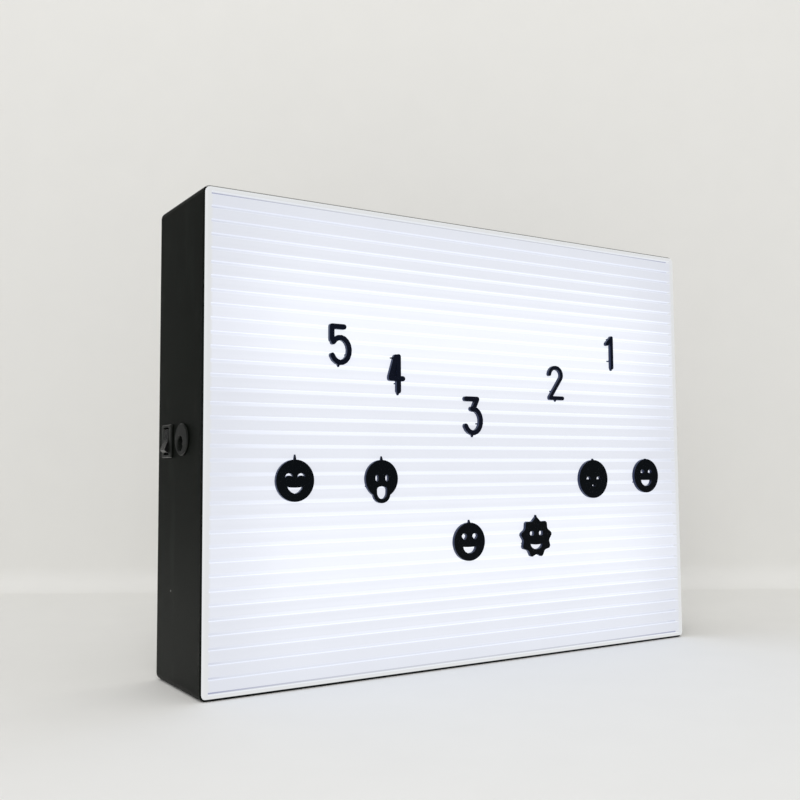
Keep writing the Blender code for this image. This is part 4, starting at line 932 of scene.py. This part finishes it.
def strip_material(settings):
    """White coated board with plated pads and yellow diode lenses."""
    material, tree, shader, position = new_material("strip_board")
    axes = add_node(tree, "ShaderNodeSeparateXYZ", {0: position}).outputs
    low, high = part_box("led_strip_upper")
    lens = calc(tree, "SUBTRACT", 1.0, ramp(tree, axes[1], low.y + 0.00005, low.y + 0.0002))
    along = calc(tree, "DIVIDE", calc(tree, "ADD", axes[0], PAD_OFFSET), PAD_PITCH)
    phase = calc(tree, "FRACT", along)
    pads = calc(tree, "SUBTRACT", 1.0, ramp(tree, phase, PAD_SHARE, PAD_SHARE + 0.006))
    texture = use_group(tree, grain_group(), Position=position, Size=0.0008, Depth=0.000004)
    coated = blend_colours(
        tree, texture["Slow"], scaled(settings.board, 0.94), scaled(settings.board, 1.04)
    )
    padded = blend_colours(tree, pads, coated, (0.66, 0.60, 0.44, 1.0))
    lit = blend_colours(tree, lens, padded, (0.86, 0.72, 0.20, 1.0))
    connect(
        tree,
        shader,
        Base_Color=lit,
        Roughness=calc(tree, "ADD", 0.36, calc(tree, "MULTIPLY", texture["Grain"], 0.12)),
        Normal=texture["Normal"],
    )
    return material


def liner_material(settings):
    """Matt white sheet with soft waviness and faint fibres."""
    material, tree, shader, position = new_material("liner_sheet")
    texture = use_group(tree, grain_group(), Position=position, Size=0.0016, Depth=0.000010)
    fibres = ramp(
        tree, noise(tree, stretch(tree, position, (900.0, 900.0, 90.0)), 1.0, 4.0), 0.55, 0.8
    )
    shaded = blend_colours(
        tree, texture["Slow"], scaled(settings.liner, 0.94), scaled(settings.liner, 1.03)
    )
    connect(
        tree,
        shader,
        Base_Color=blend_colours(
            tree, calc(tree, "MULTIPLY", fibres, 0.12), shaded, (0.60, 0.60, 0.58, 1.0)
        ),
        Roughness=calc(tree, "ADD", 0.66, calc(tree, "MULTIPLY", texture["Grain"], 0.14)),
        Normal=texture["Normal"],
    )
    return material


def lead_material(name, colour):
    """Soft insulation with a faint sheen and uneven colour."""
    material, tree, shader, position = new_material(name)
    texture = use_group(tree, grain_group(), Position=position, Size=0.0011, Depth=0.000006)
    marks = use_group(tree, marks_group(), Position=position, Amount=0.2)
    shaded = blend_colours(tree, texture["Slow"], scaled(colour, 0.78), scaled(colour, 1.2))
    connect(
        tree,
        shader,
        Base_Color=blend_colours(tree, marks["Dust"], shaded, (0.34, 0.33, 0.31, 1.0)),
        Roughness=calc(tree, "ADD", 0.36, calc(tree, "MULTIPLY", texture["Grain"], 0.16)),
        Normal=texture["Normal"],
    )
    return material


def stage_material(colour):
    """Matt paper for floor and backdrop, seen from its lit side only."""
    material, tree, shader, position = new_material("stage_paper")
    texture = use_group(tree, grain_group(), Position=position, Size=0.0022, Depth=0.000012)
    shaded = blend_colours(tree, texture["Slow"], scaled(colour, 0.985), scaled(colour, 1.012))
    connect(
        tree,
        shader,
        Base_Color=shaded,
        Roughness=0.85,
        Specular_IOR_Level=0.15,
        Normal=texture["Normal"],
    )
    clear = add_node(tree, "ShaderNodeBsdfTransparent")
    back = add_node(tree, "ShaderNodeNewGeometry").outputs["Backfacing"]
    choice = add_node(
        tree, "ShaderNodeMixShader", {0: back, 1: shader.outputs[0], 2: clear.outputs[0]}
    )
    tree.links.new(choice.outputs[0], tree.nodes["Material Output"].inputs["Surface"])
    return material


def sweep_profile(settings):
    """Distance along the view and height of the sweep and the backdrop, from the floor up."""
    start = settings.wall_distance - settings.sweep
    points = []
    for index in range(SWEEP_STEPS + 1):
        angle = math.pi / 2 * index / SWEEP_STEPS
        points.append(
            (
                start + settings.sweep * math.sin(angle),
                settings.sweep * (1 - math.cos(angle)),
            )
        )
    points.append((settings.wall_distance, BACKDROP_HEIGHT))
    return points


def add_sheet(working, points, reach, settings):
    """Faces along a profile that lies across the view."""
    ahead = Vector((math.sin(settings.yaw), math.cos(settings.yaw), 0.0))
    aside = Vector((ahead.y, -ahead.x, 0.0))
    origin = Vector((settings.camera[0], settings.camera[1], 0.0))
    rows = []
    for along, height in points:
        spot = origin + ahead * along + Vector((0.0, 0.0, height))
        rows.append([working.verts.new(spot + aside * side) for side in (-reach, reach)])
    for first, second in zip(rows, rows[1:]):
        face = working.faces.new((first[0], first[1], second[1], second[0]))
        face.smooth = True


def make_stage_mesh(settings):
    """A wide floor and a narrower backdrop that rises from it."""
    working = bmesh.new()
    profile = sweep_profile(settings)
    add_sheet(working, [(FLOOR_NEAR, 0.0), profile[0]], FLOOR_REACH, settings)
    add_sheet(working, profile, settings.wall_reach, settings)
    mesh = bpy.data.meshes.new("stage_sheet")
    working.to_mesh(mesh)
    working.free()
    sheet = bpy.data.objects.new("stage_sheet", mesh)
    bpy.context.scene.collection.objects.link(sheet)
    return sheet


def area_light(name, place, target, size, power, colour):
    """A soft rectangular light that points at a target."""
    data = bpy.data.lights.new(name, "AREA")
    data.shape = "RECTANGLE"
    data.size, data.size_y = size
    data.energy = power
    data.color = colour
    light = bpy.data.objects.new(name, data)
    light.location = place
    direction = Vector(target) - Vector(place)
    light.rotation_euler = direction.to_track_quat("-Z", "Y").to_euler()
    bpy.context.scene.collection.objects.link(light)


def background(tree, colour, strength):
    """An even surround of one colour."""
    node = add_node(tree, "ShaderNodeBackground", {"Color": colour, "Strength": strength})
    return node.outputs[0]


def make_world():
    """Pale for the camera, dim for everything else."""
    world = bpy.data.worlds.new("room")
    world.use_nodes = True
    tree = world.node_tree
    tree.nodes.clear()
    paths = add_node(tree, "ShaderNodeLightPath").outputs
    seen = background(tree, ROOM_SEEN, 1.0)
    soft = background(tree, ROOM_SOFT, 0.66)
    glossy = background(tree, ROOM_GLOSSY, 0.10)
    rest = add_node(
        tree, "ShaderNodeMixShader", {0: paths["Is Glossy Ray"], 1: soft, 2: glossy}
    )
    choice = add_node(
        tree, "ShaderNodeMixShader", {0: paths["Is Camera Ray"], 1: rest.outputs[0], 2: seen}
    )
    leave = add_node(tree, "ShaderNodeOutputWorld")
    tree.links.new(choice.outputs[0], leave.inputs["Surface"])
    bpy.context.scene.world = world


def make_camera(settings):
    """The camera at the photograph's place."""
    data = bpy.data.cameras.new("camera")
    data.lens = settings.lens
    data.sensor_width = SENSOR_WIDTH
    data.clip_start = CLIP_START
    camera = bpy.data.objects.new("camera", data)
    bpy.context.scene.collection.objects.link(camera)
    ahead = Vector(
        (
            math.sin(settings.yaw) * math.cos(settings.pitch),
            math.cos(settings.yaw) * math.cos(settings.pitch),
            math.sin(settings.pitch),
        )
    )
    level = Vector((math.cos(settings.yaw), -math.sin(settings.yaw), 0.0))
    above = level.cross(ahead)
    right = level * math.cos(settings.roll) + above * math.sin(settings.roll)
    up = above * math.cos(settings.roll) - level * math.sin(settings.roll)
    turn = Matrix((right, up, -ahead)).transposed()
    camera.matrix_world = Matrix.Translation(settings.camera) @ turn.to_4x4()
    bpy.context.scene.camera = camera


class LIGHTBOX_OT_case(Operator):
    """Dress the case and the battery door"""

    bl_idname = "lightbox.case"
    bl_label = "Case and Door"

    def execute(self, context):
        settings = context.scene.light_box_case
        walls = moulded_plastic(
            "case_black",
            settings.colour,
            settings.roughness,
            settings.gloss,
            settings.grain,
            settings.grain_depth,
            settings.dust,
            rim_highlight_and_nick=True,
        )
        dress(["rear_case"], walls)
        door = moulded_plastic(
            "door_black",
            [channel * 1.08 for channel in settings.colour],
            settings.roughness - 0.03,
            settings.gloss,
            settings.grain,
            settings.grain_depth,
            settings.dust,
            0.09,
        )
        dress(["battery_door"], door)
        return {"FINISHED"}


class LIGHTBOX_OT_panel(Operator):
    """Dress and light the grooved front panel"""

    bl_idname = "lightbox.panel"
    bl_label = "Front Panel"

    def execute(self, context):
        dress(["front_panel"], panel_material(context.scene.light_box_panel))
        return {"FINISHED"}


class LIGHTBOX_OT_figures(Operator):
    """Dress the push-in digits and faces"""

    bl_idname = "lightbox.figures"
    bl_label = "Digits and Faces"

    def execute(self, context):
        settings = context.scene.light_box_figures
        faces = figure_material("face_black", settings.colour, settings)
        digits = figure_material("digit_black", settings.digit_colour, settings)
        for name in FIGURES:
            dress([name], digits if name.startswith("digit") else faces)
            softened_copy(name, settings.edge)
        return {"FINISHED"}


class LIGHTBOX_OT_switch(Operator):
    """Dress the rocker switch"""

    bl_idname = "lightbox.switch"
    bl_label = "Rocker Switch"

    def execute(self, context):
        settings = context.scene.light_box_fittings
        body = moulded_plastic(
            "bezel_black", settings.housing, settings.roughness, 0.30, 0.00026, 0.000004, 0.2
        )
        dress(["switch_body"], body)
        rocker = moulded_plastic(
            "rocker_black", settings.rocker, 0.26, 0.26, 0.0006, 0.0000010, 0.15, 0.03
        )
        dress(["switch_rocker"], rocker)
        softened_copy("switch_rocker", 0.00035, 3)
        return {"FINISHED"}


class LIGHTBOX_OT_inlet(Operator):
    """Dress the power inlet"""

    bl_idname = "lightbox.inlet"
    bl_label = "Power Inlet"

    def execute(self, context):
        settings = context.scene.light_box_fittings
        rough = settings.roughness + 0.04
        flange = moulded_plastic(
            "inlet_black", settings.housing, rough, 0.28, 0.00028, 0.000004, 0.2
        )
        dress(["dc_jack_socket"], flange)
        # Painted shade: the dark metal colour stands in for the shade inside the inlet's hole.
        dress(INLET_METAL_NODES, plated_metal("inlet_metal_in_shade", settings.shaded_inlet_metal))
        return {"FINISHED"}


class LIGHTBOX_OT_battery_bay(Operator):
    """Dress the cells, contacts and springs"""

    bl_idname = "lightbox.battery_bay"
    bl_label = "Battery Bay"

    def execute(self, context):
        dress(CELLS, cell_material(context.scene.light_box_inside))
        metal = context.scene.light_box_fittings.metal
        dress(METAL_NODES, plated_metal("contact_metal", metal))
        return {"FINISHED"}


class LIGHTBOX_OT_inside(Operator):
    """Dress the strips, the liner and the leads"""

    bl_idname = "lightbox.inside"
    bl_label = "Inner Parts"

    def execute(self, context):
        settings = context.scene.light_box_inside
        dress(["led_strip_lower", "led_strip_upper"], strip_material(settings))
        dress(["reflector_sheet"], liner_material(settings))
        red = lead_material("insulation_red", settings.red)
        black = lead_material("insulation_black", settings.black)
        for name in LEADS:
            dress([name], red if name.endswith(("plus", "out")) else black)
        return {"FINISHED"}


class LIGHTBOX_OT_stage(Operator):
    """Set the floor, the backdrop, the lights and the camera"""

    bl_idname = "lightbox.stage"
    bl_label = "Stage"

    def execute(self, context):
        settings = context.scene.light_box_stage
        context.scene.view_settings.view_transform = "Standard"
        sheet = make_stage_mesh(settings)
        sheet.data.materials.append(stage_material(settings.floor))
        make_world()
        make_camera(settings)
        area_light("key", KEY_PLACE, KEY_TARGET, KEY_SIZE, settings.key, KEY_COLOUR)
        area_light("fill", FILL_PLACE, FILL_TARGET, FILL_SIZE, settings.fill, FILL_COLOUR)
        return {"FINISHED"}


class LIGHTBOX_PT_looks(Panel):
    """Lists the pieces of the light box"""

    bl_idname = "LIGHTBOX_PT_looks"
    bl_label = "Light Box"
    bl_space_type = "VIEW_3D"
    bl_region_type = "UI"
    bl_category = "Light Box"

    def draw(self, context):
        for operator in OPERATORS:
            self.layout.operator(operator.bl_idname)
        for name in GROUPS:
            box = self.layout.box()
            settings = getattr(context.scene, name)
            for key in settings.__annotations__:
                box.prop(settings, key)


OPERATORS = (
    LIGHTBOX_OT_case,
    LIGHTBOX_OT_panel,
    LIGHTBOX_OT_figures,
    LIGHTBOX_OT_switch,
    LIGHTBOX_OT_inlet,
    LIGHTBOX_OT_battery_bay,
    LIGHTBOX_OT_inside,
    LIGHTBOX_OT_stage,
)

GROUPS = {
    "light_box_case": LightBoxCase,
    "light_box_panel": LightBoxPanel,
    "light_box_figures": LightBoxFigures,
    "light_box_fittings": LightBoxFittings,
    "light_box_inside": LightBoxInside,
    "light_box_stage": LightBoxStage,
}

CLASSES = (*GROUPS.values(), *OPERATORS, LIGHTBOX_PT_looks)


def register():
    """Registers the classes and hangs the settings on the scene."""
    for item in CLASSES:
        bpy.utils.register_class(item)
    for name, group in GROUPS.items():
        setattr(bpy.types.Scene, name, PointerProperty(type=group))


def unregister():
    """Takes the settings and the classes away again."""
    for name in GROUPS:
        delattr(bpy.types.Scene, name)
    for item in reversed(CLASSES):
        bpy.utils.unregister_class(item)


def main():
    """Dresses the whole light box."""
    register()
    bpy.ops.lightbox.case()
    bpy.ops.lightbox.panel()
    bpy.ops.lightbox.figures()
    bpy.ops.lightbox.switch()
    bpy.ops.lightbox.inlet()
    bpy.ops.lightbox.battery_bay()
    bpy.ops.lightbox.inside()
    bpy.ops.lightbox.stage()


if __name__ == "__main__":
    main()
